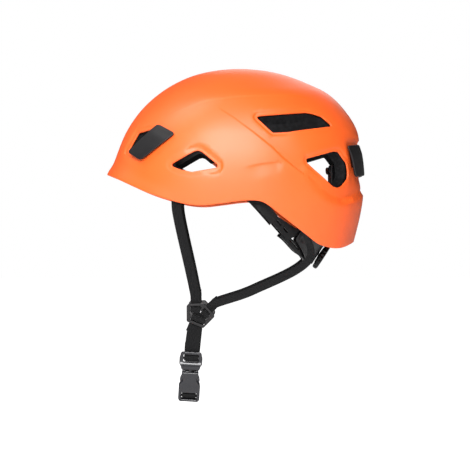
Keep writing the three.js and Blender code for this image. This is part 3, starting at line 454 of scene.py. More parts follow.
def wall_mesh(name, edge_line, openings, outer, inner, edge, spacing, material, lines=()):
    """A wall that follows the shell's form, with rounded openings. outer and inner give its offsets."""
    depths = np.array([0, 0.15, 0.4, 0.7, 1.0, 1.8]) * edge
    margin = 2.4 * edge
    points, loops, hole_rings = [], [], []

    def add_ring(ring, keep):
        if keep:
            loops.append(list(range(len(points), len(points) + len(ring))))
        points.extend(ring)

    around = np.linspace(0, 2 * math.pi, 520, endpoint=False)
    rim_level = level_at_edge(edge_line, around)
    rim = to_chart(around, rim_level)
    for depth in depths:
        add_ring(to_chart(around, rim_level - depth / CHART), depth == 0)
    for opening in openings:
        for side in (1, -1):
            rings = opening.chart_rings(depths, side)
            hole_rings.append(rings[0])
            for depth, ring in zip(depths, rings):
                add_ring(ring, depth == 0)
    strips = []
    for line, offsets in lines:
        path = resampled(line, 2.2, False)
        run = unit(np.gradient(path, axis=0))
        for off in offsets:
            y, z = (path + np.stack([-run[:, 1], run[:, 0]], 1) * off).T
            turn = turn_for_y(y, z)
            strips += [to_chart(turn, level_at(z)), to_chart(math.pi - turn, level_at(z))]
    free = hex_points(CHART, spacing)
    if strips:
        strips = np.vstack(strips)
        free = np.array([p for p in free if np.min(np.hypot(*(strips - p).T)) > 0.6 * spacing])
        free = np.vstack([free, strips])
    turn, level = np.arctan2(free[:, 1], free[:, 0]), np.hypot(*free.T) / CHART
    keep = level < level_at_edge(edge_line, turn) - margin / CHART
    p = form_point(turn, np.maximum(level, 1e-4))
    for opening in openings:
        keep &= opening.gap(p) > margin
    points.extend(free[keep])
    flat, faces = triangles(points, loops)
    middle = flat[faces].mean(1)
    use = inside(middle, rim)
    for ring in hole_rings:
        use &= ~inside(middle, ring)
    flat, faces = compact(flat, faces[use])
    turn, level = np.arctan2(flat[:, 1], flat[:, 0]), np.maximum(np.hypot(*flat.T) / CHART, 1e-4)
    p, normal = form_point(turn, level), form_normal(turn, level)
    gap = np.maximum(0, (level_at_edge(edge_line, turn) - level) * CHART)
    for opening in openings:
        gap = np.minimum(gap, np.abs(opening.gap(p)))
    drop = edge_drop(gap, edge)[:, None]
    out = p + normal * (outer(p)[:, None] - drop)
    back = p + normal * (inner(p)[:, None] + 0.6 * drop)
    return new_mesh(name, np.vstack([out, back]), thick(len(p), faces), material, sharp=50)


# ---- materials ----
class Finish:
    """A small helper that builds a Principled material from procedural nodes."""

    def __init__(self, name, color, roughness, **sockets):
        self.material = bpy.data.materials.new(name)
        self.material.use_nodes = True
        self.tree = self.material.node_tree
        self.shader = self.tree.nodes["Principled BSDF"]
        self.shader.inputs["Base Color"].default_value = (*color, 1)
        self.shader.inputs["Roughness"].default_value = roughness
        for key, value in sockets.items():
            self.shader.inputs[key.replace("_", " ")].default_value = value
        self.normal = None

    def node(self, kind, **values):
        node = self.tree.nodes.new(kind)
        for key, value in values.items():
            socket = node.inputs.get(key.replace("_", " "))
            if socket is not None:
                socket.default_value = value
            else:
                setattr(node, key, value)
        return node

    def link(self, a, b):
        self.tree.links.new(a, b)

    def place(self):
        return self.node("ShaderNodeTexCoord").outputs["Object"]

    def noise(self, scale, detail):
        node = self.node("ShaderNodeTexNoise", Scale=scale, Detail=detail)
        self.link(self.place(), node.inputs["Vector"])
        return node.outputs["Fac"]

    def cells(self, scale, feature):
        node = self.node("ShaderNodeTexVoronoi", Scale=scale, feature=feature)
        self.link(self.place(), node.inputs["Vector"])
        return node.outputs["Distance"]

    def ramp(self, value, stops):
        node = self.node("ShaderNodeValToRGB")
        ramp = node.color_ramp
        while len(ramp.elements) < len(stops):
            ramp.elements.new(0.5)
        for element, (at, color) in zip(ramp.elements, stops):
            element.position, element.color = at, (*color, 1)
        self.link(value, node.inputs["Fac"])
        return node.outputs["Color"]

    def vary_color(self, value, dark, light, low=0.35, high=0.65):
        self.link(self.ramp(value, [(low, dark), (high, light)]), self.shader.inputs["Base Color"])

    def vary(self, name, value, low, high):
        """Lets a shader input go from low to high with a value."""
        node = self.node("ShaderNodeMapRange", To_Min=low, To_Max=high)
        self.link(value, node.inputs["Value"])
        self.link(node.outputs["Result"], self.shader.inputs[name])

    def compute(self, operation, *values):
        """A math node fed with sockets or numbers."""
        node = self.node("ShaderNodeMath", operation=operation)
        for socket, value in zip(node.inputs, values):
            if isinstance(value, float):
                socket.default_value = value
            else:
                self.link(value, socket)
        return node.outputs[0]

    def bump(self, value, distance):
        node = self.node("ShaderNodeBump", Distance=distance, Strength=1.0)
        self.link(value, node.inputs["Height"])
        if self.normal:
            self.link(self.normal, node.inputs["Normal"])
        self.normal = node.outputs["Normal"]
        self.link(self.normal, self.shader.inputs["Normal"])


def scaled(color, k):
    return tuple(min(1, c * k) for c in color)


def moulded(name, color, roughness, grain, depth, shine):
    """Moulded plastic: fine grain, faint mottling and worn lighter spots."""
    finish = Finish(name, color, roughness, Specular_IOR_Level=shine)
    finish.vary_color(finish.noise(60, 4), scaled(color, 0.9), scaled(color, 1.1))
    finish.vary("Roughness", finish.noise(240, 2), roughness - 0.05, roughness + 0.06)
    finish.bump(finish.noise(grain, 2), depth)
    return finish.material


def shell_plastic():
    color = (0.93, 0.115, 0.014)
    coat = dict(Coat_Weight=0.06, Coat_Roughness=0.35)
    finish = Finish("shell_orange", color, 0.44, Specular_IOR_Level=0.5, **coat)
    finish.vary_color(finish.noise(9, 3), (0.90, 0.107, 0.012), (0.95, 0.123, 0.016), 0.3, 0.7)
    finish.vary("Roughness", finish.noise(400, 2), 0.42, 0.48)
    finish.bump(finish.noise(1500, 2), 0.00002)
    return finish.material


def bead_foam():
    finish = Finish("bead_foam", (0.004, 0.004, 0.005), 0.8, Specular_IOR_Level=0.2)
    cells = finish.cells(300.0, "SMOOTH_F1")
    finish.vary_color(cells, (0.006, 0.006, 0.007), (0.002, 0.002, 0.0025), 0.2, 0.7)
    finish.bump(cells, -0.0004)
    finish.bump(finish.noise(1800, 2), 0.00005)
    return finish.material


RIBS_PER_METRE = 900.0
YARNS_PER_METRE = 620.0


def woven(name, color):
    """Webbing: ribs of the weave from the strap's own lengthwise and crosswise measure."""
    finish = Finish(name, color, 0.7, Specular_IOR_Level=0.2, Sheen_Weight=0.04, Sheen_Roughness=0.5)
    split = finish.node("ShaderNodeSeparateXYZ")
    finish.link(finish.node("ShaderNodeUVMap", uv_map="UVMap").outputs["UV"], split.inputs[0])
    across = finish.compute("MULTIPLY", split.outputs[0], YARNS_PER_METRE * 2 * math.pi)
    across = finish.compute("SINE", across)
    length = finish.compute("MULTIPLY", split.outputs[1], RIBS_PER_METRE * 2 * math.pi)
    ribs = finish.compute("SINE", finish.compute("ADD", length, finish.compute("MULTIPLY", across, 1.2)))
    both = finish.compute("MULTIPLY_ADD", ribs, 0.6, across)
    finish.vary_color(both, scaled(color, 0.6), scaled(color, 1.5), 0.1, 0.9)
    finish.bump(both, 0.00012)
    finish.bump(finish.noise(3000, 2), 0.00004)
    return finish.material


def knitted():
    finish = Finish("knitted_lining", (0.02, 0.02, 0.022), 0.9, Sheen_Weight=0.4, Sheen_Roughness=0.6)
    cells = finish.cells(900.0, "F1")
    finish.vary_color(cells, (0.030, 0.030, 0.033), (0.010, 0.010, 0.011), 0.1, 0.6)
    finish.bump(cells, -0.0003)
    finish.bump(finish.noise(120, 3), 0.0004)
    return finish.material


def screw_metal():
    finish = Finish("screw_steel", (0.5, 0.5, 0.52), 0.3, Metallic=1.0)
    finish.vary("Roughness", finish.noise(900, 3), 0.25, 0.42)
    finish.bump(finish.noise(2500, 2), 0.00003)
    return finish.material


ORANGE = shell_plastic()
FOAM = bead_foam()
GREY = moulded("grey_plastic", (0.008, 0.0072, 0.008), 0.46, 1400, 0.00006, 0.35)
BLACK = moulded("black_plastic", (0.0025, 0.0025, 0.003), 0.40, 1200, 0.00005, 0.25)
BUCKLE_BLACK = moulded("buckle_black", (0.009, 0.009, 0.012), 0.25, 900, 0.00003, 0.6)
WEBBING = woven("webbing", (0.0035, 0.0035, 0.004))
LINING = knitted()
STEEL = screw_metal()


# ---- camera, light and floor ----
VIEW_MIDDLE = Vector((0, -5.45, -49.05)) * MM
VIEW_WIDTH = 0.5123
CAMERA_AWAY = 3.0
SENSOR = 36.0
WORLD_LIGHT = 0.09
FLOOR_LIGHT = 0.13
FLOOR_HALF = 12.0
FLOOR_DROP = 0.06
# name, place, size, watts
LAMPS = [
    ("key", (1.85, -0.22, 0.85), 1.2, 62),
    ("top", (0.4, -1.1, 2.0), 1.2, 24),
    ("fill_front", (-0.3, -1.6, 0.9), 1.0, 2),
    ("fill_back", (-1.6, 0.3, 0.9), 1.0, 5),
]


def studio():
    camera = bpy.data.cameras.new("camera")
    camera.sensor_width = SENSOR
    camera.lens = SENSOR * CAMERA_AWAY / VIEW_WIDTH
    eye = add_object("camera", camera)
    eye.location = VIEW_MIDDLE + Vector((CAMERA_AWAY, 0, 0))
    eye.rotation_euler = (math.pi / 2, 0, math.pi / 2)
    bpy.context.scene.camera = eye

    for name, place, size, watts in LAMPS:
        data = bpy.data.lights.new(name, "AREA")
        data.shape, data.size, data.energy = "DISK", size, watts
        lamp = add_object(name, data)
        lamp.location = place
        aim = Vector((0, 0, 0.02)) - Vector(place)
        lamp.rotation_euler = aim.to_track_quat("-Z", "Y").to_euler()

    world = bpy.data.worlds.new("studio")
    bpy.context.scene.world = world
    world.use_nodes = True
    nodes, links = world.node_tree.nodes, world.node_tree.links
    background = nodes["Background"]
    background.inputs["Color"].default_value = (1, 1, 1, 1)
    seen = nodes.new("ShaderNodeLightPath")
    mix = nodes.new("ShaderNodeMapRange")
    mix.inputs["To Min"].default_value, mix.inputs["To Max"].default_value = WORLD_LIGHT, 1.0
    links.new(seen.outputs["Is Camera Ray"], mix.inputs["Value"])
    links.new(mix.outputs["Result"], background.inputs["Strength"])
    bpy.context.scene.view_settings.view_transform = "Standard"

    mesh = bpy.data.meshes.new("floor")
    low = CAD_BOX[0][2] - FLOOR_DROP
    corners = [(FLOOR_HALF * x, FLOOR_HALF * y, low) for x, y in ((-1, -1), (1, -1), (1, 1), (-1, 1))]
    mesh.from_pydata(corners, [], [(0, 1, 2, 3)])
    finish = Finish("pale_floor", (0.93, 0.93, 0.93), 0.9)
    finish.vary_color(finish.noise(3, 2), (0.92, 0.92, 0.92), (0.94, 0.94, 0.94))
    finish.shader.inputs["Emission Color"].default_value = (1, 1, 1, 1)
    seen = finish.node("ShaderNodeLightPath").outputs["Is Camera Ray"]
    finish.vary("Emission Strength", seen, FLOOR_LIGHT, 1.0)
    mesh.materials.append(finish.material)
    add_object("floor", mesh)


studio()


# ---- shell and liner ----
VENTS = {
    "upper": Opening(UPPER_VENT, "side", (1.0, 0.8), 3.0, 1.5, 4.2, (-0.75, 0.65)),
    "rear": Opening(REAR_VENT, "side", (0.85, 1.0), 3.2, 1.3, 3.6, (-0.3, 0.95)),
    "side": Opening(SIDE_VENT, "side", (0.95, 0.98), 3.0, 2.2, 5.6, (0.75, 0.66)),
    "front": Opening(FRONT_VENT, "side", (0.75, 0.85), 3.5, 1.3, 4.0, (-0.8, 0.6)),
}
CLIP_SLOT = Opening([(40, 40), (54, 39), (49, 23), (34, 24)], "rear", (1.0, 1.0), 2.0)


def beside(points, line):
    """Distance of 2-D points from a line, positive on its left, and the place along it."""
    dist, where, left = to_polyline(points, line)
    return dist * left, where


def relief(p):
    """How far the outer face stands out from the smooth form."""
    y, z = p[:, 1], p[:, 2]
    side = np.stack([y, z], 1)
    over = z - along(SHELL_EDGE, y)
    out = VISOR_FLARE * smooth(-y, 50, 125) * np.exp(-((over / 10) ** 2))
    signed, _ = beside(side, RIDGE_LINE)
    width = 7 - 5 * smooth(y, 90, 128)
    out += REAR_RIDGE * smooth(y, 58, 112) * (1 - smooth(signed, -width, width * 0.6))
    signed, where = beside(side, DIAGONAL_CREASE)
    depth = (0.25 + 1.3 * smooth(where, 0.2, 0.85)) * smooth(where, 0, 0.06)
    depth *= 1 - 0.7 * smooth(where, 0.94, 1)
    out -= depth * smooth(signed, -0.5, 1.1) * (1 - smooth(signed, 3, 26))
    signed, where = beside(side, SHORT_CREASE)
    depth = 1.1 * smooth(where, 0, 0.4) * (1 - smooth(where, 0.8, 1))
    out -= depth * smooth(-signed, -0.4, 0.8) * (1 - smooth(-signed, 1.5, 16))
    signed, where = beside(side, UPPER_RIDGE)
    swell = np.where(signed > 0, 1 - smooth(signed, 0, 15), 1 - smooth(-signed, -22, 44))
    out += 1.5 * swell * smooth(where, 0, 0.3) * (1 - smooth(where, 0.8, 1))
    back = (y > 0) * smooth(-np.abs(p[:, 0]), -64, -50)
    out -= 2.2 * back * smooth(-z, -53.5, -51.5) * (1 - smooth(-z, -14, -2))
    for vent in VENTS.values():
        gap = vent.gap(p)
        near = 1 - smooth(gap, vent.dish_width * 0.7, vent.dish_width * 1.3)
        out -= vent.dish * near * vent.toward(side, vent.lip)
    return out


def make_shell():
    fine = (-5, -3.4, -2.2, -1.2, -0.5, 0.2, 0.9, 1.7, 2.8, 4.2)
    lines = [
        (DIAGONAL_CREASE, fine),
        (SHORT_CREASE, fine[1:-1]),
        (UPPER_RIDGE, (-3, -1.5, -0.5, 0.5, 1.5, 3)),
        (RIDGE_LINE[2:-2], (-6, -4.4, -3, -1.8, -0.8, 0.2, 1.2, 2.4, 4)),
    ]
    for vent in VENTS.values():
        rings = [offset_ring(vent.ring, vent.dish_width * k) for k in (0.66, 0.82, 1.0, 1.18, 1.36)]
        lines += [(ring * vent.squeeze, (0,)) for ring in rings]
    openings = [*VENTS.values(), CLIP_SLOT]

    def within(p):
        return relief(p) - SHELL_WALL

    shell = wall_mesh("helmet_shell", SHELL_EDGE, openings, relief, within, 0.8, 2.9, ORANGE, lines)
    settle(shell, "helmet", "shell", "outer_shell")


def make_liner():
    outer = -(SHELL_WALL + LINER_GAP + LINER_SETBACK)

    def shrunk(points):
        middle = np.mean(points, 0)
        return [tuple(middle + (np.array(p) - middle) * 0.94) for p in points]

    openings = [
        Opening(shrunk(REAR_VENT), "side", (0.85, 1.0), 4.0),
        Opening(shrunk(SIDE_VENT), "side", (0.95, 0.98), 4.0),
    ]

    def outside(p):
        """With pockets behind the upper and front vents."""
        pocket = 9 * (1 - smooth(VENTS["upper"].gap(p), -5, 0.5))
        pocket += 10 * (1 - smooth(VENTS["front"].gap(p), -4, 0))
        return outer - np.clip(pocket, 0, 10)

    def within(p):
        """With air channels lengthwise and crosswise under the crown."""
        groove = np.exp(-((np.abs(p[:, 0]) - 26) / 6) ** 2)
        groove += np.exp(-((np.abs(p[:, 1] - 5) - 34) / 6) ** 2)
        channel = 2.2 * np.clip(groove, 0, 1) * smooth(p[:, 2], 50, 75)
        return outer - LINER_WALL + LINER_SETBACK + channel

    liner = wall_mesh("liner_foam", LINER_EDGE, openings, outside, within, 1.6, 3.6, FOAM)
    settle(liner, "helmet", "foam", "foam_liner")


make_shell()
make_liner()


# ---- placing points ----
def in_frame(points, origin, x_axis, y_axis, z_axis):
    return np.asarray(origin, float) + np.asarray(points, float) @ np.array([x_axis, y_axis, z_axis])


BAND_TILT = math.radians(33)
BAND_CENTRE = (0, 14.8, -24.2)
BAND_AXES = (
    (1, 0, 0),
    (0, math.cos(BAND_TILT), -math.sin(BAND_TILT)),
    (0, math.sin(BAND_TILT), math.cos(BAND_TILT)),
)


def in_band(points):
    return in_frame(points, BAND_CENTRE, *BAND_AXES)


def mirror_x(points):
    return np.asarray(points, float) * (-1, 1, 1)


def joined(*parts):
    verts, faces, count = [], [], 0
    for v, f in parts:
        verts.append(v)
        faces += [tuple(i + count for i in face) for face in f]
        count += len(v)
    return np.vstack(verts), faces


# ---- headlamp clips ----
CLIP_BOW = 1.4
STEM_WALL = 8
# the four corners, the view they are drawn in, width and length of the flap
CLIPS = {
    "front": (FRONT_CLIP, on_side, 22, 46),
    "rear": (REAR_CLIP, on_rear, 30, 37),
}


def make_clip(label, corners, locate, wide, long, mirror):
    """A flap over the shell that lifts away towards its free end, and its stem at the root."""
    outline = rounded([(0, 0), (wide, 0), (wide, long), (0, long)], 4.2, 0.9)
    verts, faces = plate(outline, CLIP_WALL, 0.9, 2.2)
    a, b, c, d = (np.array(p, float) for p in corners)

    def spread(x, y, off):
        s, t = (y / long)[:, None], (x / wide)[:, None]
        flat = (1 - s) * ((1 - t) * a + t * b) + s * ((1 - t) * d + t * c)
        lift = CLIP_BOW * np.sin(np.clip(s[:, 0], 0, 1) * math.pi / 2)
        return locate(flat[:, 0], flat[:, 1], off + lift)

    x, y, up = verts.T
    hump = 0.5 * smooth(y, 0.1 * long, 0.3 * long)
    shape = spread(x, y, up + CLIP_LIFT + CLIP_WALL / 2 + hump * (up > 0))
    foot = rectangle(0.36 * wide, 0.62 * wide, 0.25 * long, 0.37 * long, 1.2)
    stem, stem_faces = plate(foot, STEM_WALL, 0.8, 2.5)
    stem = spread(stem[:, 0], stem[:, 1], stem[:, 2] + CLIP_LIFT - 3)
    everything, all_faces = joined((shape, faces), (stem, stem_faces))
    everything = mirror_x(everything) if mirror else everything
    clip = new_mesh(f"{label}_lamp_clip", everything, all_faces, GREY, 60)
    settle(clip, f"{label}_clip", "grey_plastic", f"{label}_headlamp_clip")


for side, mirror in SIDES:
    for end, shape in CLIPS.items():
        make_clip(f"{side}_{end}", *shape, mirror)

# ---- webbing ----
STRAP_WALL = 1.3
DIVIDER_WALL = 2.4
RAIL_W = 3
BAR_MIDDLE = 6.9
BAR_W = 2.2
BAR_REACH = 2.4
LAYER = DIVIDER_WALL / 2 + STRAP_WALL / 2 + 0.3


def spline(points, step):
    """A smooth curve through points, sampled evenly."""
    points = np.asarray(points, float)
    s = np.concatenate([[0], np.cumsum(np.sqrt(np.linalg.norm(np.diff(points, axis=0), axis=1)))])
    fine = np.linspace(0, s[-1], 60 * len(points))
    dense = np.stack([along(np.column_stack([s, points[:, k]]), fine) for k in range(3)], 1)
    return resampled(dense, step, False)


def between_rings(pairs, m):
    """Quads between pairs of rings of m points."""
    quads = []
    for i, k in pairs:
        for j in range(m):
            after = (j + 1) % m
            quads.append((i * m + j, i * m + after, k * m + after, k * m + j))
    return quads


def strap_mesh(path, across, width):
    """Woven tape: rounded edges, a slightly hollow face, and its own lengthwise and crosswise measure."""
    half, thin = width / 2, STRAP_WALL / 2
    us = np.array([-1, -0.985, -0.93, -0.8, -0.5, 0, 0.5, 0.8, 0.93, 0.985, 1])
    full = thin * np.array([0.15, 0.6, 0.95, 1, 0.93, 0.9, 0.93, 1, 0.95, 0.6, 0.15])
    upper = np.stack([us * half, full], 1)
    ring = np.vstack([upper, upper[::-1] * (1, -1)])
    run = unit(np.gradient(path, axis=0))
    across = np.broadcast_to(across, path.shape)
    side = unit(across - run * np.sum(across * run, 1, keepdims=True))
    face = np.cross(run, side)
    verts = path[:, None] + side[:, None] * ring[None, :, :1] + face[:, None] * ring[None, :, 1:]
    n, m = len(path), len(ring)
    faces = between_rings([(i, i + 1) for i in range(n - 1)], m)
    faces += [tuple(range(m)), tuple(range((n - 1) * m, n * m))[::-1]]
    uv = np.stack(np.broadcast_arrays(ring[None, :, 0], lengths(path)[:, None]), -1) * MM
    return verts.reshape(-1, 3), faces, uv.reshape(-1, 2), (side, face, run)


TACK_ROWS = 2
TACK_STITCHES = 9
STITCH = np.array([
    (-1, 0, 0), (-0.5, 0.22, 0), (-0.5, 0, 0.22), (-0.5, -0.22, 0), (0.5, 0.22, 0), (0.5, 0, 0.22),
    (0.5, -0.22, 0), (1, 0, 0), (0, 0, -0.22),
])
STITCH_SKIN = [
    (0, 1, 2), (0, 2, 3), (1, 4, 5, 2), (2, 5, 6, 3), (4, 7, 5), (5, 7, 6), (0, 8, 1), (0, 3, 8), (1, 8, 4),
    (3, 6, 8), (4, 8, 7), (6, 7, 8),
]


def stitch_rows(path, axes, start, width):
    """Bar tacks: rows of short raised stitches across the tape, on both faces, from sample `start`."""
    side, face, run = axes
    parts = []
    for i in range(start, start + 3 * TACK_ROWS, 3):
        for j in range(TACK_STITCHES):
            u = (j - (TACK_STITCHES - 1) / 2) / TACK_STITCHES * (width - 1.5)
            for up in (1, -1):
                base = path[i] + side[i] * u + face[i] * up * (STRAP_WALL / 2 + 0.02)
                parts.append((base + STITCH @ np.array([run[i], side[i], face[i] * up]), STITCH_SKIN))
    return parts


def make_strap(name, path, across, width, body, node, tacks=(), mirror=False):
    verts, faces, uv, axes = strap_mesh(path, across, width)
    parts = [(verts, faces)]
    for start in tacks:
        parts += stitch_rows(path, axes, start % len(path), width)
    everything, all_faces = joined(*parts)
    all_uv = np.zeros((len(everything), 2))
    all_uv[: len(uv)] = uv
    everything = mirror_x(everything) if mirror else everything
    piece = new_mesh(name, everything, all_faces, WEBBING, 60, all_uv)
    return settle(piece, body, "webbing", node)


DIVIDER_MIDDLE = (68, -42.5, -134.5)
DIVIDER_FACE = unit((0.985, 0, -0.17))
DIVIDER_AXES = ((0, 1, 0), tuple(np.cross(DIVIDER_FACE, (0, 1, 0))), tuple(DIVIDER_FACE))
DIVIDER_OUTLINE = [(-14.5, 10), (-12.5, 12.5), (4, 13), (15, 1), (15, -2), (3.3, -14), (-14.5, -6.6)]
DIVIDER_WINDOW = [(-11, 4.54), (0.58, 4.89), (8.46, -3.71), (5.84, -6.39), (-11, 0.62)]
DIVIDER_SIDES = {
    "front": ((-12.5, 12.5), 1.7, 1.5, 13.2),
    "rear": ((4, 13), -47.5, 4.2, 14.4),
    "chin": ((3.3, -14), 157.4, 0.6, 16.4),
}


def in_side(side, s, d):
    """A point `s` along a side of the divider and `d` in from its edge."""
    corner, heading = side[:2]
    x, y = math.cos(math.radians(heading)), math.sin(math.radians(heading))
    return corner[0] + s * x + d * y, corner[1] + s * y - d * x


def strap_end(side):
    middle = (side[2] + side[3]) / 2
    edge, inner = (in_frame([*in_side(side, middle, d), 0], DIVIDER_MIDDLE, *DIVIDER_AXES) for d in (0, 1))
    return edge, unit(inner - edge), DIVIDER_FACE


def round_bar(degrees):
    """Points of the tape's middle round a bar."""
    return [(BAR_REACH * math.cos(a), BAR_REACH * math.sin(a)) for a in map(math.radians, degrees)]


def weave_path(end, back):
    """Behind a rail, up through a slot, round a bar and back behind."""
    edge, run, face = end
    rows = [(-4.5, -LAYER), (-1.5, -LAYER), (1.2, -LAYER), (2.6, -2.25), (3.9, -1.9), (4.45, -0.9)]
    rows += [(BAR_MIDDLE + x, z) for x, z in round_bar(range(180, -91, -30))]
    behind = -LAYER - STRAP_WALL - 0.35
    rows += [(5.6, -3.1), (4.2, behind + 0.15), (2.6, behind), (-back / 2, behind), (-back, behind)]
    return np.array([edge + run * d + face * w for d, w in rows])


STRAP_STEP = 0.9
SIDE_STRAP_W = 10.2
REAR_STRAP_W = 8.6
CHIN_STRAP_W = 15


def side_strap(name, route, side, width, node):
    end = strap_end(DIVIDER_SIDES[side])
    loop = weave_path(end, 12)
    lead = loop[0] - end[1] * 4
    path = spline(np.vstack([*route, lead, loop]), STRAP_STEP)
    across = unit(np.cross(end[2], end[1]))
    tacks = (-16, -11, 4)
    for prefix, mirror in SIDES:
        make_strap(f"{prefix}_{name}", path, across, width, "helmet", f"{prefix}_{node}", tacks, mirror)


front_top = on_side(np.array([-69.0]), np.array([-4.0]), np.array([-SHELL_WALL - 3.0]))[0]
front_route = [front_top, (91, -66.5, -26), (77, -53, -88)]
side_strap("front_tape", front_route, "front", SIDE_STRAP_W, "front_strap")
rear_top = on_side(np.array([70.0]), np.array([-41.0]), np.array([-SHELL_WALL - 5.2]))[0]
rear_route = [rear_top, (64, 73, -76), (70, 15, -108)]
side_strap("rear_tape", rear_route, "rear", REAR_STRAP_W, "rear_strap")

BUCKLE_TOP = (61, -52, -174)
BUCKLE_DOWN = unit((-0.26, -0.06, -0.96))
BUCKLE_SIDE = unit(np.array([0, 1, 0]) - BUCKLE_DOWN * BUCKLE_DOWN[1])
BUCKLE_FACE = np.cross(BUCKLE_DOWN, BUCKLE_SIDE)
BUCKLE_AXES = (tuple(BUCKLE_DOWN), tuple(BUCKLE_SIDE), tuple(BUCKLE_FACE))
FEMALE_END = 55
FEMALE_BAR_X = FEMALE_END - 6.3


def in_buckle(points):
    return in_frame(points, BUCKLE_TOP, *BUCKLE_AXES)


def chin_strap(name, first, first_across, route, last, node, tacks, body="helmet"):
    start = first[::-1]
    to = np.array(BUCKLE_SIDE)
    if np.dot(first_across, to) < 0:
        first_across = -first_across
    points = np.vstack([start, *route, last])
    path = spline(points, STRAP_STEP)
    gap = np.linalg.norm(path[:, None] - points[None], axis=2)
    a, b = np.argmin(gap[:, len(start) - 1]), np.argmin(gap[:, len(start) + len(route)])
    t = smooth(np.arange(len(path)), a, b)[:, None]
    return make_strap(name, path, first_across * (1 - t) + to * t, CHIN_STRAP_W, body, node, tacks)


chin_end = strap_end(DIVIDER_SIDES["chin"])
chin_across = unit(np.cross(chin_end[2], chin_end[1]))
male_end = (np.array(BUCKLE_TOP, float), BUCKLE_DOWN, BUCKLE_FACE)
chin_loop, male_loop = weave_path(chin_end, 10), weave_path(male_end, 9)
chin_strap("left_chin_tape", chin_loop, chin_across, [], male_loop, "left_chin_strap", (9, -13))
female_turn = [(BAR_REACH, z) for z in (-14, -9, -4)] + round_bar(range(0, 181, 30))
female_turn += [(-BAR_REACH, -4), (-BAR_REACH + 0.6, -9), (BAR_REACH - STRAP_WALL - 0.6, -14)]
female_loop = in_buckle([(FEMALE_BAR_X + x, 0, z) for x, z in female_turn])
right_route = [in_buckle([(FEMALE_BAR_X + BAR_REACH - 1, 0, -24)])[0]]
right_chin = chin_strap("right_chin_tape", mirror_x(chin_loop), mirror_x(chin_across), right_route,
                        female_loop, "right_chin_strap", (9, -9), None)
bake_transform(right_chin)

# ---- divider and buckle ----
def slot_ring(side, near, far):
    """Outline of a slot along one side of the divider, between two distances from its edge."""
    corners = [(side[2], near), (side[3], near), (side[3], far), (side[2], far)]
    return rounded([in_side(side, s, d) for s, d in corners], 0.5, 0.6)


bar_near = BAR_MIDDLE - BAR_W / 2
divider_holes = [slot_ring(side, RAIL_W, bar_near) for side in DIVIDER_SIDES.values()]
divider_holes.append(rounded(DIVIDER_WINDOW, 0.8, 0.7))
divider_outline = rounded(DIVIDER_OUTLINE, 1.6, 0.7)
divider, divider_faces = plate(divider_outline, DIVIDER_WALL, 0.75, 1.6, divider_holes)
divider = in_frame(divider, DIVIDER_MIDDLE, *DIVIDER_AXES)
for prefix, mirror in SIDES:
    shape = mirror_x(divider) if mirror else divider
    ring = new_mesh(f"{prefix}_divider_ring", shape, divider_faces, GREY, 45)
    settle(ring, "helmet", "black_plastic", f"{prefix}_strap_divider")


def both_edges(half):
    return list(half) + [(x, -y) for x, y in reversed(half)]


SLOT_HALF = 8.2
MALE_WALL = 4
PRONG_WALL = 2.8
FEMALE_WALL = 8
RIDGE_START = 11.2
RIDGE_END = 15.6
RIDGE_H = 1.25
MALE_HALF = [(0, 9.25), (1.2, 10.85), (7, 12.25), (12.5, 12.25), (16, 10.65), (20, 9.45)]
male_slots = ((RAIL_W, bar_near), (BAR_MIDDLE + BAR_W / 2, 11))
male_holes = [rectangle(near, far, -SLOT_HALF, SLOT_HALF, 0.5, 0.6) for near, far in male_slots]
male, male_faces = plate(rounded(both_edges(MALE_HALF), 1.2, 0.7), MALE_WALL, 1.0, 0.8, male_holes)
thin = 1 - smooth(male[:, 0], 10.6, 11.2)
thin = np.where(np.abs(male[:, 1]) < SLOT_HALF + 0.05, thin, 0.35 * thin)
male[:, 2] *= 1 - 0.42 * thin
# a bar across the front, its upper flank sloping
ridge = np.clip((male[:, 0] - RIDGE_START) / 2.2, 0, 1) * np.clip((RIDGE_END - male[:, 0]) / 1.2, 0, 1)
male[:, 2] += RIDGE_H * ridge * (male[:, 2] > 0)
tongue, tongue_faces = plate(rectangle(19, 37, -1.5, 1.5, 0.6, 0.7), PRONG_WALL, 0.5, 1.5)
male_all = joined((in_buckle(male), male_faces), (in_buckle(tongue), tongue_faces))
settle(new_mesh("buckle_male_half", *male_all, BUCKLE_BLACK, 45), "helmet", "black_plastic", "buckle_male")

PRONG = [
    (20.4, 5), (20.4, 8.6), (25, 8.8), (28, 10.2), (31, 10.7), (33.6, 10.3), (34, 8.6), (37, 6.8),
    (37, 4.6), (33, 6), (25, 5.6),
]
prong, prong_faces = plate(rounded(PRONG, 0.5, 0.5), PRONG_WALL, 0.5, 1.5)
for name, way in (("rear", 1), ("front", -1)):
    shape = in_buckle(prong * (1, way, 1))
    piece = new_mesh(f"{name}_prong_piece", shape, prong_faces, BUCKLE_BLACK, 45)
    settle(piece, f"{name}_prong", "black_plastic", f"{name}_buckle_prong")

FEMALE_HALF = [
    (22, 8.9), (25, 9.1), (28, 7.5), (31, 7.5), (35, 10.9), (38, 11.5), (52, 11.5), (54.4, 10.5), (55, 9),
]
female_holes = []
for way in (-1, 1):
    reach = (way * BAR_W / 2, way * (BAR_REACH + STRAP_WALL / 2 + 0.35))
    near, far = sorted(FEMALE_BAR_X + x for x in reach)
    female_holes.append(rectangle(near, far, -SLOT_HALF, SLOT_HALF, 0.5, 0.6))
female_outline = rounded(both_edges(FEMALE_HALF), 1.0, 0.7)
female, female_faces = plate(female_outline, FEMALE_WALL, 1.4, 1.5, female_holes)
on_bar = np.abs(female[:, 0] - FEMALE_BAR_X) < BAR_W / 2 + 0.05
on_bar &= np.abs(female[:, 1]) < SLOT_HALF + 0.05
female[on_bar, 2] *= BAR_W / FEMALE_WALL
panel = smooth(female[:, 0], 36.5, 38) * (1 - smooth(female[:, 0], 43.5, 45)) * (np.abs(female[:, 1]) < 8.6)
female[:, 2] -= np.sign(female[:, 2]) * 0.35 * panel


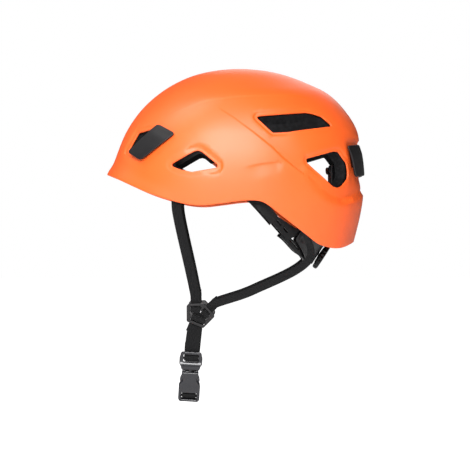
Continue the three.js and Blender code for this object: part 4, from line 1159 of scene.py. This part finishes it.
def boxes_cut(obj, boxes, place):
    """The mesh of an object with rounded boxes (x0, x1, y0, y1, height) taken out of it."""
    cutters = []
    for x0, x1, y0, y1, height in boxes:
        verts, faces = plate(rectangle(x0, x1, y0, y1, 0.4, 1.0), height, 0.2, 4)
        cutter = new_mesh("cutter", place(verts), faces, BLACK)
        modifier = obj.modifiers.new("cut", "BOOLEAN")
        modifier.operation, modifier.object, modifier.solver = "DIFFERENCE", cutter, "EXACT"
        cutters.append(cutter)
    apply_modifiers(obj)
    for cutter in cutters:
        bpy.data.objects.remove(cutter)


female_piece = new_mesh("buckle_female_half", in_buckle(female), female_faces, BUCKLE_BLACK, 40)
boxes_cut(female_piece, [(18, 37, -11.5, 11.5, 3.6), (35.5, 39.5, -9.3, 9.3, 3.6)], in_buckle)
settle(female_piece, "female", "black_plastic", "buckle_female")

# ---- nape cradle and dial ----
RACK_R = 80
RACK_WALL = 1.6
COVER_R = RACK_R + RACK_WALL + 0.4
COVER_WALL = 2
CRADLE_HALF = 13
COVER_WING = 50
DIAL_Y = COVER_R + COVER_WALL + 0.5
LIP_HALF = 24
HUB_R = 2.8
RIB_H = 0.75


def on_arc(points, radius):
    """Flat points (along the arc, up, out) bent round the band's axis at a radius."""
    a = points[:, 0] / radius
    r = radius + points[:, 2]
    return in_band(np.stack([r * np.sin(a), r * np.cos(a), points[:, 1]], 1))


def make_cover():
    radius = COVER_R + COVER_WALL / 2
    degs = np.linspace(-COVER_WING, COVER_WING, 9)
    narrowing = smooth(np.abs(degs), LIP_HALF, COVER_WING)
    low, high = 12 * narrowing - CRADLE_HALF, CRADLE_HALF - 2 * narrowing
    xs = np.radians(degs) * radius
    ring = rounded([*zip(xs, low), *zip(xs[::-1], high[::-1])], 2.5, 1.2)
    around = np.linspace(0, 2 * math.pi, 12, endpoint=False)
    hub = rounded([(HUB_R * math.cos(a), HUB_R * math.sin(a)) for a in around], 1, 0.6)
    verts, faces = plate(ring, COVER_WALL, 0.7, 1.5, [hub])
    x, y, up = verts.T
    gap = -signed_gap(verts[:, :2], ring)
    rib = np.exp(-(((gap - 3.2) / 1.3) ** 2)) + 0.8 * np.exp(-((y / 1.4) ** 2)) * (np.abs(x) > 17)
    verts[:, 2] += RIB_H * rib * (up > 0) * smooth(gap, 0.4, 1.6) * smooth(np.hypot(x, y), 15, 18)
    lips = []
    for z0, z1 in ((-CRADLE_HALF, 2 - CRADLE_HALF), (CRADLE_HALF - 2, CRADLE_HALF)):
        half = math.radians(LIP_HALF) * (RACK_R + 1)
        lip, lip_faces = plate(rectangle(-half, half, z0, z1, 0.5, 1.5), 2.2, 0.3, 3)
        lips.append((on_arc(lip, RACK_R + 1.2), lip_faces))
    piece = new_mesh("cradle_cover_piece", *joined((on_arc(verts, radius), faces), *lips), GREY, 40)
    settle(piece, "helmet", "grey_plastic", "cradle_cover")


def make_dial():
    """Lobed dial: rings of points from the middle of its face round the rim and back to the hub."""
    lobes, per_lobe = 18, 8
    turn = np.linspace(0, 2 * math.pi, lobes * per_lobe, endpoint=False)
    wave = 0.5 - 0.5 * np.cos(turn * lobes)
    profile = [
        (2.6, 3.6, 0), (2.6, 5.9, 0), (3.1, 6.4, 0), (5.5, 6.5, 0), (6.2, 6.2, 0), (9.4, 6.0, 0.1),
        (10.3, 6.3, 0.2), (13.0, 6.5, 0.5), (14.2, 6.2, 0.9), (15.0, 5.2, 1), (15.0, 2.6, 1),
        (14.4, 1.4, 0.9), (13.2, 1.0, 0.5), (11.1, 1.0, 0), (11.0, 3.0, 0), (4.0, 3.0, 0), (3.8, 0.2, 0),
        (3.5, 0.0, 0), (1.4, 0.0, 0), (1.3, 0.2, 0), (1.3, 3.5, 0),
    ]
    rows = []
    for radius, up, depth in profile:
        r = radius - 1.1 * depth * wave**2
        rows.append(np.stack([r * np.sin(turn), np.full_like(r, DIAL_Y + up), r * np.cos(turn)], 1))
    verts = in_band(np.vstack(rows))
    rings = range(len(profile))
    faces = between_rings([(i, (i + 1) % len(profile)) for i in rings], len(turn))
    settle(new_mesh("dial_grip", verts, faces, BLACK, 40), "dial", "black_plastic", "dial_knob")


make_cover()
make_dial()


# ---- pads ----
VOXEL = 2.5 * MM
PAD_START = 0.97
PAD_TRAVEL = 2 * MM
PAD_PRESSURE = 4
CLOTH_STEPS = 20
CHANNEL_W = 1.5
CHANNEL_DEPTH = 0.9 * MM
# the axis that the sewn channels cross, and where they cross it
PADS = {
    "brow": (0, (-24, 0, 24)),
    "nape": (0, (-10, 10)),
    "front_crown": (0, (-14, 14)),
    "rear_crown": (0, (-14, 14)),
    "left_crown": (1, (-12, 12)),
    "right_crown": (1, (-12, 12)),
}


def make_pad(place, axis, channels):
    """A quilted pad: the CAD solid blown up as cloth, smoothed and pressed in along its channels."""
    source = frame["nodes"][f"{place}_pad"]
    mesh = source.data.copy()
    mesh.transform(source.matrix_world)
    pad = add_object(f"{place}_cushion", mesh)
    middle = sum((v.co for v in mesh.vertices), Vector()) / len(mesh.vertices)
    mesh.transform(Matrix.Translation(middle) @ Matrix.Scale(PAD_START, 4) @ Matrix.Translation(-middle))
    remesh = pad.modifiers.new("remesh", "REMESH")
    remesh.mode, remesh.voxel_size = "VOXEL", VOXEL
    apply_modifiers(pad)
    rest = [v.co.copy() for v in pad.data.vertices]
    cloth = pad.modifiers.new("cloth", "CLOTH")
    cloth.settings.use_pressure = True
    cloth.settings.uniform_pressure_force = PAD_PRESSURE
    cloth.settings.effector_weights.gravity = 0
    cloth.settings.quality = 5
    for step in range(1, CLOTH_STEPS + 1):
        bpy.context.scene.frame_set(step)
    apply_modifiers(pad)
    bpy.context.scene.frame_set(1)
    for v, start in zip(pad.data.vertices, rest):
        move = v.co - start
        if move.length > PAD_TRAVEL:
            v.co = start + move.normalized() * PAD_TRAVEL
    smoother = pad.modifiers.new("smooth", "SMOOTH")
    smoother.factor, smoother.iterations = 0.5, 4
    subdivide = pad.modifiers.new("subdivide", "SUBSURF")
    subdivide.levels = subdivide.render_levels = 1
    apply_modifiers(pad)
    for v in pad.data.vertices:
        press = sum(math.exp(-(((v.co[axis] / MM - at) / CHANNEL_W) ** 2)) for at in channels)
        v.co -= v.normal * min(1, press) * CHANNEL_DEPTH
    pad.data.materials.clear()
    pad.data.materials.append(LINING)
    pad.data.shade_smooth()
    settle(pad, "helmet", "pad_fabric", f"{place}_pad")


for place, quilting in PADS.items():
    make_pad(place, *quilting)

# ---- CAD pieces that keep their shape ----
SLOT_FINISH = {
    "shell": ORANGE, "foam": FOAM, "grey_plastic": GREY, "black_plastic": BLACK, "webbing": WEBBING,
    "pad_fabric": LINING, "screw_steel": STEEL,
}
for part in frame["record"]["subparts"]:
    mesh = frame["nodes"][part["node"]].data
    mesh.materials.clear()
    mesh.materials.append(SLOT_FINISH[part["material_slot"]])
